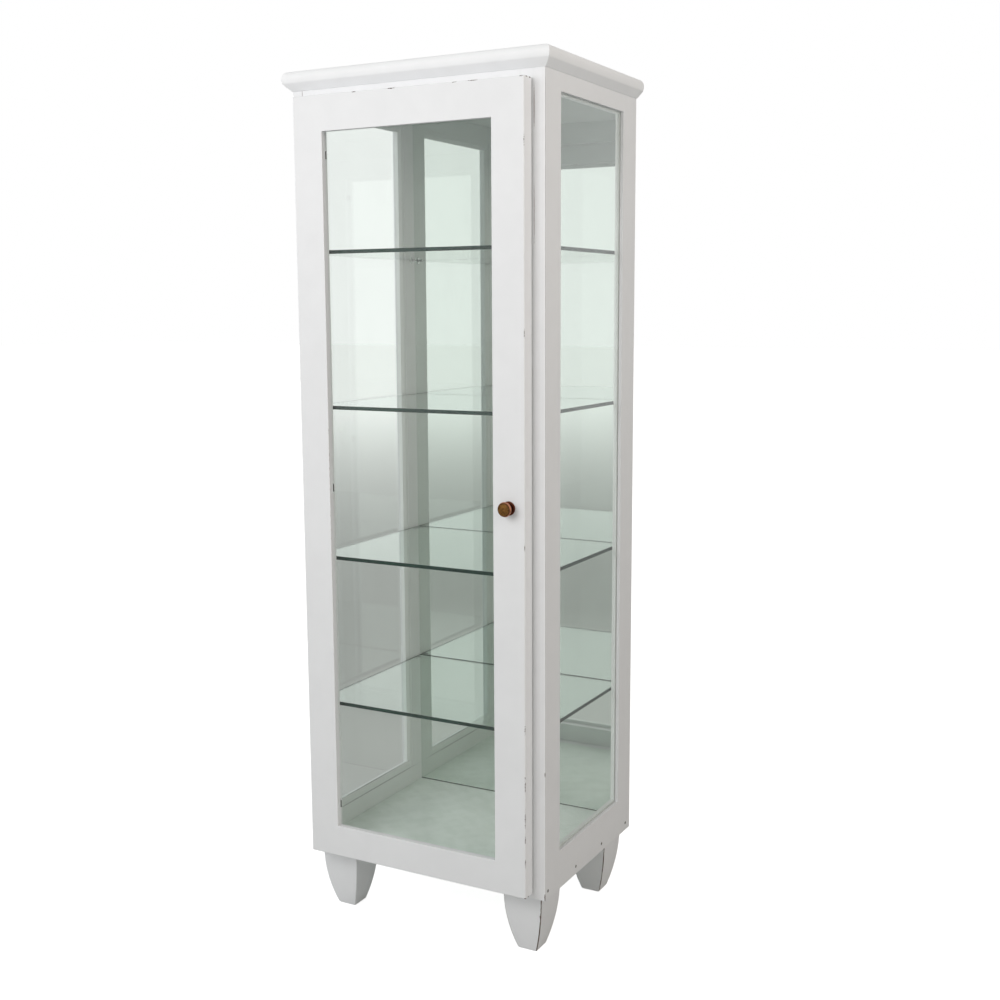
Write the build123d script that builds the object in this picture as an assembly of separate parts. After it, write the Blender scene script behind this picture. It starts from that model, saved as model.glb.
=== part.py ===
"""A tall glazed china cabinet: painted timber case, mirror back, four glass shelves and one framed door.

Millimetres, +Z up, +X to the right seen from the front, the front faces -Y.
The origin is on the floor, in the middle of the outline, so the feet stand on Z = 0.
"""
from build123d import *
import math
import os

# Case
case_width = 600.0
case_depth = 456.0
overall_height = 1878.0
foot_height = 142.0
floor_thickness = 29.0
top_board_thickness = 22.0

# Side frames: timber sections, glass and beads
side_thickness = 24.0
side_stile_width = 71.0
side_bottom_rail = 86.0
side_top_rail = 55.0
side_lip = 7.0
side_rebate_width = 13.0
side_bead_width = 18.0
side_bead_depth = 12.0
side_bead_bevel = 8.0
side_bead_bevel_depth = 3.5
pane_thickness = 4.0

# Tenons of the rails
tenon_thickness = 8.0
tenon_length = 36.0
tenon_shoulder = 14.0
stub_tenon_length = 12.0

# Front posts and rails behind the door
post_width = 30.0
post_thickness = 22.0
front_top_rail_height = 52.0

# Cornice moulding
cornice_height = 40.0
cornice_reach = 17.7
cornice_foot = 1.8
cornice_bevel = 13.5
cornice_undercut = 2.5
cornice_nose = 25.0
cornice_crown = 5.5

# Back
back_rebate_width = 8.0
back_rebate_depth = 15.0
mirror_thickness = 4.0
panel_thickness = 6.0
back_rail_height = 23.0
back_bead_height = 20.0
bead_pin_radius = 0.8
bead_pin_bite = 10.0
bead_pin_inset = 60.0
bead_pin_count = 5

# Shelves and their supports
shelf_count = 4
lowest_shelf = 327.0
top_compartment = 356.0
shelf_thickness = 8.0
shelf_front_setback = 8.0
shelf_side_gap = 2.0
shelf_back_gap = 2.0
shelf_edge_chamfer = 0.8
support_inset = 34.0
support_pin_radius = 2.5
support_pin_length = 11.0
support_flange_radius = 6.0
support_flange_thickness = 1.4
support_tongue_length = 13.0
support_tongue_width = 8.0
support_tongue_thickness = 2.6
support_tongue_round = 2.4

# Feet
foot_top_size = 92.0
foot_inset = 17.0
foot_taper = 24.0
dowel_radius = 6.0
dowel_in_foot = 40.0
dowel_in_floor = 22.0
dowel_spread = 40.0

# Door
door_gap = 3.0
door_thickness = 32.0
door_hinge_reveal = 24.0
door_knob_reveal = 28.0
door_foot_reveal = 13.0
door_head_reveal_hinge = 17.5
door_head_reveal_knob = 19.0
door_stile_width = 72.5
door_bottom_rail = 71.0
door_top_rail = 74.5
door_lip = 12.0
door_rebate_width = 9.0
door_edge_round = 2.5

# Angle clips that hold the door's pane in its rebate, each with one pin
clip_height = 16.0
clip_thickness = 1.0
clip_on_glass = 9.3
clip_on_stile = 10.0
clip_from_end = 47.0
clip_above_middle = 7.5
clip_pin_radius = 0.8
clip_pin_head_radius = 1.8
clip_pin_head_height = 0.7
clip_pin_length = 11.0

# Hinges
hinge_height = 64.0
hinge_leaf_width = 22.0
hinge_leaf_thickness = 1.1
hinge_barrel_radius = 3.0
hinge_pin_radius = 1.2
hinge_pin_head_radius = 2.4
hinge_pin_head_height = 1.6
hinge_pin_head_rim = 0.96
hinge_barrel_gap = 0.3
hinge_knuckles = 5
hinge_knuckle_gap = 0.2
hinge_from_end = 150.0
hinge_screw_radius = 1.5
hinge_screw_head = 2.9
hinge_screw_length = 15.0
hinge_screw_spread = 23.04
hinge_screw_from_barrel = 12.1
hinge_screw_stagger = 3.0

# Knob
knob_projection = 23.0
knob_below_middle = 7.5
knob_radius = 15.3
knob_neck_radius = 6.0
knob_rim_height = 8.5
knob_lip = 2.4
knob_crown = 0.6
knob_well_depth = 0.3
knob_well_step = 0.9
knob_neck_flare = 1.5
knob_neck_waist = 0.4
rosette_radius = 14.5
rosette_thickness = 3.0
rosette_rim_height = 1.35
rosette_shoulder = 1.2
rosette_shoulder_height = 2.4
rosette_slope = 3.5
knob_screw_radius = 2.0
knob_screw_bite = 9.0
knob_screw_head_radius = 4.0
knob_screw_head_height = 2.2
knob_screw_head_crown = 2.8
knob_screw_head_rim = 1.1

# Magnetic catch
catch_above_middle = 40.0
catch_width = 14.0
catch_height = 44.0
catch_round = 2.0
catch_screw_radius = 1.6
catch_screw_length = 26.0
catch_screw_spread = 26.0
catch_screw_head = 3.2
catch_screw_head_depth = 1.8
catch_screw_set_back = 2.0
strike_thickness = 1.4
strike_width = 12.0
strike_height = 38.0
strike_round = 2.0
strike_screw_head = 2.88
strike_screw_spread = 24.32
catch_air_gap = 0.3

# Nails along the foot of each side, and dowels under the top board
nail_height = 18.0
nail_first = 14.0
nail_last = 25.0
nail_count = 4
nail_radius = 1.3
nail_head_radius = 2.6
nail_head_height = 1.2
nail_length = 40.0
top_dowel_radius = 4.0
top_dowel_half = 14.0
top_dowel_edge = 36.0

# Clearances
joint_clearance = 0.1
glass_clearance = 1.0
running_clearance = 0.05

# Places worked out from the sizes above
outline_depth = case_depth + door_gap + door_thickness + knob_projection
y_back = outline_depth / 2
y_face = y_back - case_depth
y_door_back = y_face - door_gap
y_door_front = y_door_back - door_thickness
y_mirror = y_back - back_rebate_depth
x_out = case_width / 2
x_in = x_out - side_thickness
z_case = foot_height
z_floor = z_case + floor_thickness
z_ceiling = overall_height - top_board_thickness
z_cornice = overall_height - cornice_height

x_door_left = -x_out + door_hinge_reveal
x_door_right = x_out - door_knob_reveal
z_door_foot = z_case + door_foot_reveal
z_head_hinge = z_cornice - door_head_reveal_hinge
z_head_knob = z_cornice - door_head_reveal_knob
x_sight_left = x_door_left + door_stile_width
x_sight_right = x_door_right - door_stile_width
z_sight_low = z_door_foot + door_bottom_rail
z_sight_high = z_head_hinge - door_top_rail

y_side_front = y_face + side_stile_width
y_side_rear = y_back - side_stile_width
z_side_low = z_case + side_bottom_rail
z_side_high = z_ceiling - side_top_rail
x_pane_out = x_out - side_lip
x_pane_in = x_pane_out - pane_thickness

x_hinge = x_door_left - hinge_barrel_radius - hinge_barrel_gap
y_hinge = y_face - hinge_barrel_radius - hinge_barrel_gap
x_knob = x_door_right - door_stile_width / 2
z_knob = (z_door_foot + z_head_hinge) / 2 - knob_below_middle
shelf_pitch = (z_ceiling - top_compartment - z_floor - lowest_shelf) / (shelf_count - 1)
z_catch = z_floor + lowest_shelf + shelf_pitch * 1.5 + catch_above_middle
nail_pitch = (case_depth - nail_first - nail_last) / (nail_count - 1)
x_post = x_in - post_width
y_post_back = y_face + post_thickness
z_nail = z_case + nail_height


def block(x0, x1, y0, y1, z0, z1):
    """A box between two corners."""
    centre = Pos((x0 + x1) / 2, (y0 + y1) / 2, (z0 + z1) / 2)
    return centre * Box(abs(x1 - x0), abs(y1 - y0), abs(z1 - z0))


def mirrored(shape):
    """The same piece on the other side of the case."""
    return mirror(shape, about=Plane.YZ)


def rod(start, direction, radius, length):
    """A round bar from a start point along a direction."""
    return extrude(Plane(origin=start, z_dir=direction) * Circle(radius), length)


def plate_xz(points, y0, y1):
    """An outline drawn on the front view, given as (x, z), made solid between two depths."""
    outline = Polyline([(x, y0, z) for x, z in points], close=True)
    return extrude(make_face(outline), abs(y1 - y0), dir=(0, 1, 0))


def plate_yz(points, x0, x1):
    """An outline drawn on the side view, given as (y, z), made solid between two widths."""
    outline = Polyline([(x0, y, z) for y, z in points], close=True)
    return extrude(make_face(outline), abs(x1 - x0), dir=(1, 0, 0))


def mitred_ring(low_a, high_a, low_b, high_b, width):
    """Four strip outlines, mitred at the corners, round the inside of a rectangle."""
    outer = [(low_a, low_b), (high_a, low_b), (high_a, high_b), (low_a, high_b)]
    inner = [(low_a + width, low_b + width), (high_a - width, low_b + width),
             (high_a - width, high_b - width), (low_a + width, high_b - width)]
    strips = []
    for i in range(4):
        j = (i + 1) % 4
        strips.append([outer[i], outer[j], inner[j], inner[i]])
    return strips


def turned(points, origin, direction):
    """A turned piece: points are (radius, distance) along its axis."""
    base = Plane(origin=origin, z_dir=direction)
    profile = Polyline([(r, 0, h) for r, h in points], close=True)
    return base * revolve(make_face(profile), Axis.Z)


def countersunk(origin, direction, shank, head, head_depth, length, spare=0.0):
    """A countersunk screw, its head face at the origin, running along the direction."""
    points = [(0, 0), (head + spare, 0), (shank + spare, head_depth), (shank + spare, length),
              (0, length + shank)]
    return turned(points, origin, direction)


def keep(name, *solids):
    """Writes one node: a single piece, or a group of like pieces."""
    pieces = []
    for solid in solids:
        pieces.extend(solid.solids())
    shape = pieces[0] if len(pieces) == 1 else Compound(children=pieces)
    shape.label = name
    export_step(shape, os.path.join("parts", name + ".step"))


# Side frames. The right one is worked out, the left one is its mirror image.
def pane_pocket():
    """The rebate that takes the glass and its beads, cut from inside."""
    w = side_rebate_width
    return block(x_in, x_pane_out, y_side_front - w, y_side_rear + w, z_side_low - w, z_side_high + w)


def side_tenons(spare):
    """The four tenons of one side frame, or their mortises when spare is given."""
    x_mid = (x_in + x_out) / 2
    half = tenon_thickness / 2 + spare
    reach = tenon_length + spare * 5
    bottom = (z_case + tenon_shoulder - spare, z_side_low - tenon_shoulder + spare)
    top = (z_side_high + tenon_shoulder - spare, z_ceiling - tenon_shoulder + spare)
    tenons = []
    for low, high in (bottom, top):
        tenons.append(block(x_mid - half, x_mid + half, y_side_front - reach, y_side_front, low, high))
        tenons.append(block(x_mid - half, x_mid + half, y_side_rear, y_side_rear + reach, low, high))
    return tenons


def nail_places():
    """Distances of the nails along a side, as Y values."""
    return [y_face + nail_first + nail_pitch * i for i in range(nail_count)]


def side_nail(y, spare=0.0):
    """One nail driven in from the right, its head just under the paint."""
    head = rod((x_out + spare, y, z_nail), (-1, 0, 0), nail_head_radius + spare,
               nail_head_height + 2 * spare)
    return head + rod((x_out, y, z_nail), (-1, 0, 0), nail_radius + spare, nail_length + spare)


def support_places():
    """Y and top Z of the shelf supports on one side."""
    tops = [z_floor + lowest_shelf + shelf_pitch * i - shelf_thickness / 2 for i in range(shelf_count)]
    places = []
    for z in tops:
        for y in (y_face + support_inset, y_mirror - support_inset / 2):
            places.append((y, z))
    return places


def shelf_support(y, z, spare=0.0):
    """One metal support: pin in the stile, flange against it, flat tongue under the glass."""
    z_axis = z - support_tongue_thickness / 2
    pin = rod((x_in + support_pin_length + spare, y, z_axis), (-1, 0, 0), support_pin_radius + spare,
              support_pin_length + spare)
    if spare:
        return pin
    flange = rod((x_in, y, z_axis), (-1, 0, 0), support_flange_radius, support_flange_thickness)
    half = support_tongue_width / 2
    tongue = block(x_in - support_tongue_length, x_in, y - half, y + half, z - support_tongue_thickness, z)
    tongue = fillet(tongue.edges().filter_by(Axis.Z).sort_by(Axis.X)[:2], support_tongue_round)
    return pin + flange + tongue


def top_dowels(spare=0.0):
    """Dowels between the top board and the tops of the right side frame's stiles."""
    places = [y_face + top_dowel_edge, y_back - top_dowel_edge]
    x_mid = (x_out + x_in) / 2
    length = 2 * top_dowel_half + 2 * spare
    low = z_ceiling - top_dowel_half - spare
    return [rod((x_mid, y, low), (0, 0, 1), top_dowel_radius + spare, length) for y in places]


def right_side_members():
    """The stiles and rails of the right side frame, by name."""
    stile_front = block(x_in, x_out, y_face, y_side_front, z_case, z_ceiling)
    stile_rear = block(x_in, x_out, y_side_rear, y_back, z_case, z_ceiling)
    rail_top = block(x_in, x_out, y_side_front, y_side_rear, z_side_high, z_ceiling)
    rail_bottom = block(x_in, x_out, y_side_front, y_side_rear, z_case, z_side_low)
    pocket = pane_pocket()
    members = {"front_stile": stile_front - pocket, "rear_stile": stile_rear - pocket,
               "top_rail": rail_top - pocket, "bottom_rail": rail_bottom - pocket}
    bottom_front, bottom_rear, top_front, top_rear = side_tenons(0.0)
    members["bottom_rail"] += bottom_front + bottom_rear
    members["top_rail"] += top_front + top_rear
    for mortise in side_tenons(joint_clearance):
        members["front_stile"] -= mortise
        members["rear_stile"] -= mortise
    back_rebate = block(x_in, x_in + back_rebate_width, y_mirror, y_back, z_case, z_ceiling)
    members["rear_stile"] -= back_rebate
    for y in nail_places():
        hole = side_nail(y, running_clearance)
        for name in ("front_stile", "rear_stile", "bottom_rail"):
            members[name] -= hole
    for y, z in support_places():
        hole = shelf_support(y, z, running_clearance)
        members["front_stile"] -= hole
        members["rear_stile"] -= hole
    for hole in top_dowels(joint_clearance):
        members["front_stile"] -= hole
        members["rear_stile"] -= hole
    for hole in bead_pins(running_clearance):
        members["rear_stile"] -= hole
    return members


def side_pane():
    """The right pane, loose in its rebate."""
    gap = side_rebate_width - glass_clearance
    return block(x_pane_in, x_pane_out, y_side_front - gap, y_side_rear + gap,
                 z_side_low - gap, z_side_high + gap)


def side_beads():
    """Four beads that hold the right pane from inside, bevelled towards it and mitred at the corners."""
    w = side_rebate_width - joint_clearance
    ring = mitred_ring(y_side_front - w, y_side_rear + w, z_side_low - w, z_side_high + w, side_bead_width)
    x_face = x_pane_in - side_bead_depth
    inset = side_bead_width - w
    y_mid, z_mid = (y_side_front + y_side_rear) / 2, (z_side_low + z_side_high) / 2
    wide, tall = y_side_rear - y_side_front - 2 * inset, z_side_high - z_side_low - 2 * inset
    face = Plane(origin=(x_face, y_mid, z_mid), x_dir=(0, 1, 0), z_dir=(1, 0, 0))
    deep = Plane(origin=(x_face + side_bead_bevel_depth, y_mid, z_mid), x_dir=(0, 1, 0), z_dir=(1, 0, 0))
    bevel = loft([face * Rectangle(wide + 2 * side_bead_bevel, tall + 2 * side_bead_bevel),
                  deep * Rectangle(wide, tall)])
    return [plate_yz(strip, x_face, x_pane_in) - bevel for strip in ring]


# Front posts and rails, floor, top board and back
def front_post():
    """The right post behind the door's edge, glued to the side frame."""
    post = block(x_post, x_in, y_face, y_post_back, z_case, z_ceiling)
    for y in nail_places():
        post -= side_nail(y, running_clearance)
    for tenon in front_tenons(joint_clearance):
        post -= tenon
    return post


def front_tenons(spare):
    """Stub tenons at the right ends of the two front rails."""
    y_mid = (y_face + y_post_back) / 2
    half = tenon_thickness / 2 + spare
    reach = stub_tenon_length + spare * 5
    shoulder = tenon_shoulder / 2
    spans = ((z_case + shoulder - spare, z_floor - shoulder + spare),
             (z_ceiling - front_top_rail_height + shoulder - spare, z_ceiling - shoulder + spare))
    return [block(x_post, x_post + reach, y_mid - half, y_mid + half, low, high) for low, high in spans]


def front_rail(index, low, high):
    """A front rail between the posts, with its tenons."""
    rail = block(-x_post, x_post, y_face, y_post_back, low, high)
    tenon = front_tenons(0.0)[index]
    return rail + tenon + mirrored(tenon)


def foot_centres():
    """Middle of each foot, by name."""
    x = x_out - foot_inset - foot_top_size / 2
    y_front_foot = y_face + foot_inset + foot_top_size / 2
    y_rear_foot = y_back - foot_inset - foot_top_size / 2
    return {"front_left": (-x, y_front_foot), "front_right": (x, y_front_foot),
            "rear_left": (-x, y_rear_foot), "rear_right": (x, y_rear_foot)}


def foot_dowels(spare=0.0):
    """Two dowels from each foot up into the floor board."""
    dowels = []
    for x, y in foot_centres().values():
        for side in (-1, 1):
            start = (x + side * dowel_spread / 2, y, z_case - dowel_in_foot - spare)
            length = dowel_in_foot + dowel_in_floor + 2 * spare
            dowels.append(rod(start, (0, 0, 1), dowel_radius + spare, length))
    return dowels


def foot(x, y):
    """A square foot whose four faces bulge and curve in towards the floor."""
    half = foot_top_size / 2
    radius = (foot_height ** 2 + foot_taper ** 2) / (2 * foot_taper)
    mid_z = foot_height / 2
    mid_in = radius - math.sqrt(radius ** 2 - (foot_height - mid_z) ** 2)
    right = ThreePointArc((half, 0, foot_height), (half - mid_in, 0, mid_z), (half - foot_taper, 0, 0))
    left = ThreePointArc((-half + foot_taper, 0, 0), (-half + mid_in, 0, mid_z), (-half, 0, foot_height))
    bottom = Line((half - foot_taper, 0, 0), (-half + foot_taper, 0, 0))
    top = Line((-half, 0, foot_height), (half, 0, foot_height))
    outline = make_face([right, bottom, left, top])
    front_view = extrude(outline, half, both=True)
    side_view = Rot(0, 0, 90) * front_view
    shape = Pos(x, y, 0) * (front_view & side_view)
    for hole in foot_dowels(joint_clearance):
        shape -= hole
    return shape


def cabinet_floor():
    """The floor board between the side frames, behind the front posts."""
    board = block(-x_in, x_in, y_post_back, y_mirror, z_case, z_floor)
    for y in nail_places():
        hole = side_nail(y, running_clearance)
        board -= hole
        board -= mirrored(hole)
    for hole in foot_dowels(joint_clearance):
        board -= hole
    return board


def top_board():
    """The flat top inside the cornice."""
    board = block(-x_out, x_out, y_face, y_back, z_ceiling, overall_height)
    for hole in top_dowels(joint_clearance):
        board -= hole
        board -= mirrored(hole)
    for hole in bead_pins(running_clearance):
        board -= hole
    return board


def cornice_outline(plane):
    """Section of the moulding: short foot, sloping flank, full rounded nose, flat top."""
    start = (cornice_foot, 0)
    flank = (cornice_reach - cornice_undercut, cornice_bevel)
    nose = (cornice_reach, cornice_nose)
    crown = (cornice_crown, cornice_height)
    lines = [Line((0, 0), start), Line(start, flank), TangentArc(nose, flank, tangent=(0, -1)),
             TangentArc(nose, crown, tangent=(0, 1)), Line(crown, (0, cornice_height)),
             Line((0, cornice_height), (0, 0))]
    return plane * make_face(lines)


def cornice_front():
    """Front length, mitred at both ends."""
    half = x_out + 2 * cornice_reach
    plane = Plane(origin=(-half, y_face, z_cornice), x_dir=(0, -1, 0), z_dir=(-1, 0, 0))
    length = extrude(cornice_outline(plane), 2 * half, dir=(1, 0, 0))
    return cut_mitre(cut_mitre(length, 1, True), -1, True)


def cornice_side(side):
    """Left or right length, mitred at the front and square at the back."""
    start = y_face - 2 * cornice_reach
    plane = Plane(origin=(side * x_out, start, z_cornice), x_dir=(side, 0, 0), z_dir=(0, -side, 0))
    length = extrude(cornice_outline(plane), y_back - start, dir=(0, 1, 0))
    return cut_mitre(length, side, False)


def cut_mitre(length, side, front):
    """Takes off what lies past the mitre at one front corner."""
    big = 3 * case_width
    x, y = side * x_out, y_face
    along = (x + side * big, y - big)
    if front:
        corner = [(x - side * big, y + big), along, (x + side * big, y + big)]
    else:
        corner = [(x - side * big, y + big), along, (x - side * big, y - big)]
    wedge = make_face(Polyline([(a, b, 0) for a, b in corner], close=True))
    return length - extrude(wedge, 2 * overall_height, both=True)


def back_rail():
    """The bottom rail across the back, let into the rebates of the rear stiles."""
    reach = x_in + back_rebate_width - joint_clearance
    return block(-reach, reach, y_mirror, y_back, z_case, z_case + back_rail_height)


def back_sheet(y0, y1):
    """The mirror or its backing panel, standing on the back bottom rail."""
    reach = x_in + back_rebate_width - glass_clearance / 2
    low = z_case + back_rail_height
    return block(-reach, reach, y0, y1, low, z_ceiling - glass_clearance)


def back_beads():
    """Strips that close the back rebates over the backing panel."""
    y0 = y_mirror + mirror_thickness + panel_thickness
    low = z_case + back_rail_height
    right = block(x_in, x_in + back_rebate_width - joint_clearance, y0, y_back, low, z_ceiling)
    across = block(-x_in, x_in, y0, y_back, z_ceiling - back_bead_height, z_ceiling)
    beads = [right, mirrored(right), across]
    for hole in bead_pins(running_clearance):
        beads = [bead - hole for bead in beads]
    return beads


def bead_pins(spare=0.0):
    """Headless pins that hold the back beads to the rear stiles and the top board."""
    y = y_back - (back_rebate_depth - mirror_thickness - panel_thickness) / 2
    low = z_case + back_rail_height + bead_pin_inset
    high = z_ceiling - back_bead_height - bead_pin_inset
    radius = bead_pin_radius + spare
    pins = []
    for i in range(bead_pin_count):
        z = low + (high - low) * i / (bead_pin_count - 1)
        right = rod((x_in, y, z), (1, 0, 0), radius, back_rebate_width + bead_pin_bite + spare)
        pins += [right, mirrored(right)]
    for x in (-case_width / 4, case_width / 4):
        start = (x, y, z_ceiling - back_bead_height)
        pins.append(rod(start, (0, 0, 1), radius, back_bead_height + bead_pin_bite + spare))
    return pins


def shelf(index):
    """A glass shelf with its long edges ground off."""
    z = z_floor + lowest_shelf + shelf_pitch * index
    half_x = x_in - shelf_side_gap
    glass = block(-half_x, half_x, y_face + shelf_front_setback, y_mirror - shelf_back_gap,
                  z - shelf_thickness / 2, z + shelf_thickness / 2)
    for side in (-1, 1):
        x0 = side * (x_post - glass_clearance)
        x1 = side * (half_x + shelf_side_gap)
        glass -= block(x0, x1, y_face, y_post_back + glass_clearance,
                       z - shelf_thickness, z + shelf_thickness)
    front = glass.edges().filter_by(Axis.X).group_by(Axis.Y)[0]
    return chamfer(front, shelf_edge_chamfer)


# Door
def door_pocket():
    """The rebate for the door's glass, cut from the back."""
    w = door_rebate_width
    return block(x_sight_left - w, x_sight_right + w, y_door_front + door_lip, y_door_back,
                 z_sight_low - w, z_sight_high + w)


def head_height(x):
    """Height of the door's head, which falls away slightly towards the knob side."""
    share = (x - x_door_left) / (x_door_right - x_door_left)
    return z_head_hinge + (z_head_knob - z_head_hinge) * share


def door_tenons(spare):
    """Tenons of the door's rails, or their mortises when spare is given."""
    y_mid = y_door_front + door_thickness / 2
    half = tenon_thickness / 2 + spare
    reach = tenon_length + spare * 5
    low_top = z_sight_high + tenon_shoulder - spare
    high_top = z_head_knob - tenon_shoulder + spare
    low = (z_door_foot + tenon_shoulder - spare, z_sight_low - tenon_shoulder + spare)
    spans = (low, (low_top, high_top))
    tenons = []
    for low, high in spans:
        tenons.append(block(x_sight_left - reach, x_sight_left, y_mid - half, y_mid + half, low, high))
        tenons.append(block(x_sight_right, x_sight_right + reach, y_mid - half, y_mid + half, low, high))
    return tenons


def rounded_front(member, x_edges, z_edges):
    """Rounds the door's outer front arrises on one member."""
    same_place = 0.01
    edges = []
    for edge in member.edges():
        middle = edge.center()
        on_front = abs(middle.Y - y_door_front) < same_place
        at_side = any(abs(middle.X - x) < same_place for x in x_edges)
        at_end = any(abs(middle.Z - z) < same_place for z in z_edges)
        if on_front and (at_side or at_end):
            edges.append(edge)
    return fillet(edges, min(door_edge_round, door_lip / 3))


def door_members():
    """Stiles and rails of the door, by name."""
    pocket = door_pocket()
    spans = {"door_hinge_stile": (x_door_left, x_sight_left), "door_knob_stile": (x_sight_right, x_door_right)}
    members = {}
    for name, (x0, x1) in spans.items():
        outline = [(x0, z_door_foot), (x1, z_door_foot), (x1, head_height(x1)), (x0, head_height(x0))]
        stile = plate_xz(outline, y_door_front, y_door_back) - pocket
        for mortise in door_tenons(joint_clearance):
            stile -= mortise
        edge = x_door_left if name == "door_hinge_stile" else x_door_right
        head = (head_height(x0) + head_height(x1)) / 2
        members[name] = rounded_front(stile, (edge,), (z_door_foot, head))
    bottom_left, bottom_right, top_left, top_right = door_tenons(0.0)
    low = block(x_sight_left, x_sight_right, y_door_front, y_door_back, z_door_foot, z_sight_low) - pocket
    members["door_bottom_rail"] = rounded_front(low, (), (z_door_foot,)) + bottom_left + bottom_right
    outline = [(x_sight_left, z_sight_high), (x_sight_right, z_sight_high),
               (x_sight_right, head_height(x_sight_right)), (x_sight_left, head_height(x_sight_left))]
    high = plate_xz(outline, y_door_front, y_door_back) - pocket
    head = (head_height(x_sight_left) + head_height(x_sight_right)) / 2
    members["door_top_rail"] = rounded_front(high, (), (head,)) + top_left + top_right
    members["door_knob_stile"] -= knob_screw(running_clearance)
    members["door_knob_stile"] -= strike_screws(running_clearance)[0]
    members["door_knob_stile"] -= strike_screws(running_clearance)[1]
    for z in hinge_heights():
        for hole in hinge_screws(z, False, running_clearance):
            members["door_hinge_stile"] -= hole
    for hole in clip_pins(running_clearance):
        members["door_hinge_stile"] -= hole
        members["door_knob_stile"] -= hole
    return members


def door_pane():
    """The door's pane, loose in its rebate."""
    gap = door_rebate_width - glass_clearance
    y0 = y_door_front + door_lip
    return block(x_sight_left - gap, x_sight_right + gap, y0, y0 + pane_thickness,
                 z_sight_low - gap, z_sight_high + gap)


def clip_places():
    """Rebate wall, inward direction and height of each clip, three to a stile."""
    middle = (z_sight_low + z_sight_high) / 2 + clip_above_middle
    places = []
    for z in (z_sight_low + clip_from_end, middle, z_sight_high - clip_from_end):
        places.append((x_sight_left - door_rebate_width, 1, z))
        places.append((x_sight_right + door_rebate_width, -1, z))
    return places


def door_clips():
    """Angle clips in the door's rebate: one leg pinned to the stile, the other over the glass."""
    y0 = y_door_front + door_lip + pane_thickness
    clips = []
    for x, side, z in clip_places():
        low, high = z - clip_height / 2, z + clip_height / 2
        on_stile = block(x, x + side * clip_thickness, y0, y0 + clip_on_stile, low, high)
        on_glass = block(x, x + side * clip_on_glass, y0, y0 + clip_thickness, low, high)
        clips.append(on_stile + on_glass)
    for hole in clip_pins(running_clearance):
        clips = [clip - hole for clip in clips]
    return clips


def clip_pins(spare=0.0):
    """One flat-headed pin through each clip into the stile."""
    y = y_door_front + door_lip + pane_thickness + (clip_thickness + clip_on_stile) / 2
    radius = clip_pin_radius + spare
    pins = []
    for x, side, z in clip_places():
        start = x + side * clip_thickness
        shank = rod((start, y, z), (-side, 0, 0), radius, clip_pin_length + spare)
        if not spare:
            shank += rod((start, y, z), (side, 0, 0), clip_pin_head_radius, clip_pin_head_height)
        pins.append(shank)
    return pins


# Hinges
def hinge_heights():
    """Middle heights of the three hinges."""
    return [z_door_foot + hinge_from_end, (z_door_foot + z_head_knob) / 2, z_head_knob - hinge_from_end]


def hinge_leaf(z, on_frame):
    """One leaf with its knuckles: three on the frame leaf, two on the door leaf."""
    low = z - hinge_height / 2
    step = hinge_height / hinge_knuckles
    if on_frame:
        y0, y1 = y_face - hinge_leaf_thickness, y_face
    else:
        y0, y1 = y_door_back, y_door_back + hinge_leaf_thickness
    x_plate = x_hinge + hinge_barrel_radius + hinge_barrel_gap
    leaf = block(x_plate, x_plate + hinge_leaf_width, y0, y1, low, low + hinge_height)
    for i in range(hinge_knuckles):
        if (i % 2 == 0) != on_frame:
            continue
        z0 = low + i * step + hinge_knuckle_gap / 2
        z1 = low + (i + 1) * step - hinge_knuckle_gap / 2
        barrel = rod((x_hinge, y_hinge, z0), (0, 0, 1), hinge_barrel_radius, z1 - z0)
        leaf += barrel + block(x_hinge, x_plate, y0, y1, z0, z1)
    start = (x_hinge, y_hinge, low - hinge_pin_head_height)
    leaf -= rod(start, (0, 0, 1), hinge_pin_radius + running_clearance, hinge_height + 2 * hinge_pin_head_height)
    for hole in hinge_screws(z, on_frame, running_clearance):
        leaf -= hole
    return leaf


def hinge_screws(z, on_frame, spare=0.0):
    """Three countersunk screws of one leaf."""
    x = x_hinge + hinge_barrel_radius + hinge_barrel_gap + hinge_screw_from_barrel
    y = y_face - hinge_leaf_thickness if on_frame else y_door_back + hinge_leaf_thickness
    direction = (0, 1, 0) if on_frame else (0, -1, 0)
    screws = []
    for i in (-1, 0, 1):
        origin = (x + hinge_screw_stagger * abs(i), y, z + i * hinge_screw_spread)
        screws.append(countersunk(origin, direction, hinge_screw_radius, hinge_screw_head,
                                  hinge_leaf_thickness, hinge_screw_length, spare))
    return screws


def hinge_pin(z):
    """A loose pin with a button head on top and a foot that stops it below."""
    half = hinge_height / 2
    points = [(0, -half - hinge_pin_head_height), (hinge_pin_head_radius, -half - hinge_pin_head_height),
              (hinge_pin_head_radius, -half), (hinge_pin_radius, -half), (hinge_pin_radius, half),
              (hinge_pin_head_radius, half), (hinge_pin_head_radius, half + hinge_pin_head_rim),
              (0, half + hinge_pin_head_height)]
    return turned(points, (x_hinge, y_hinge, z), (0, 0, 1))


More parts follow.
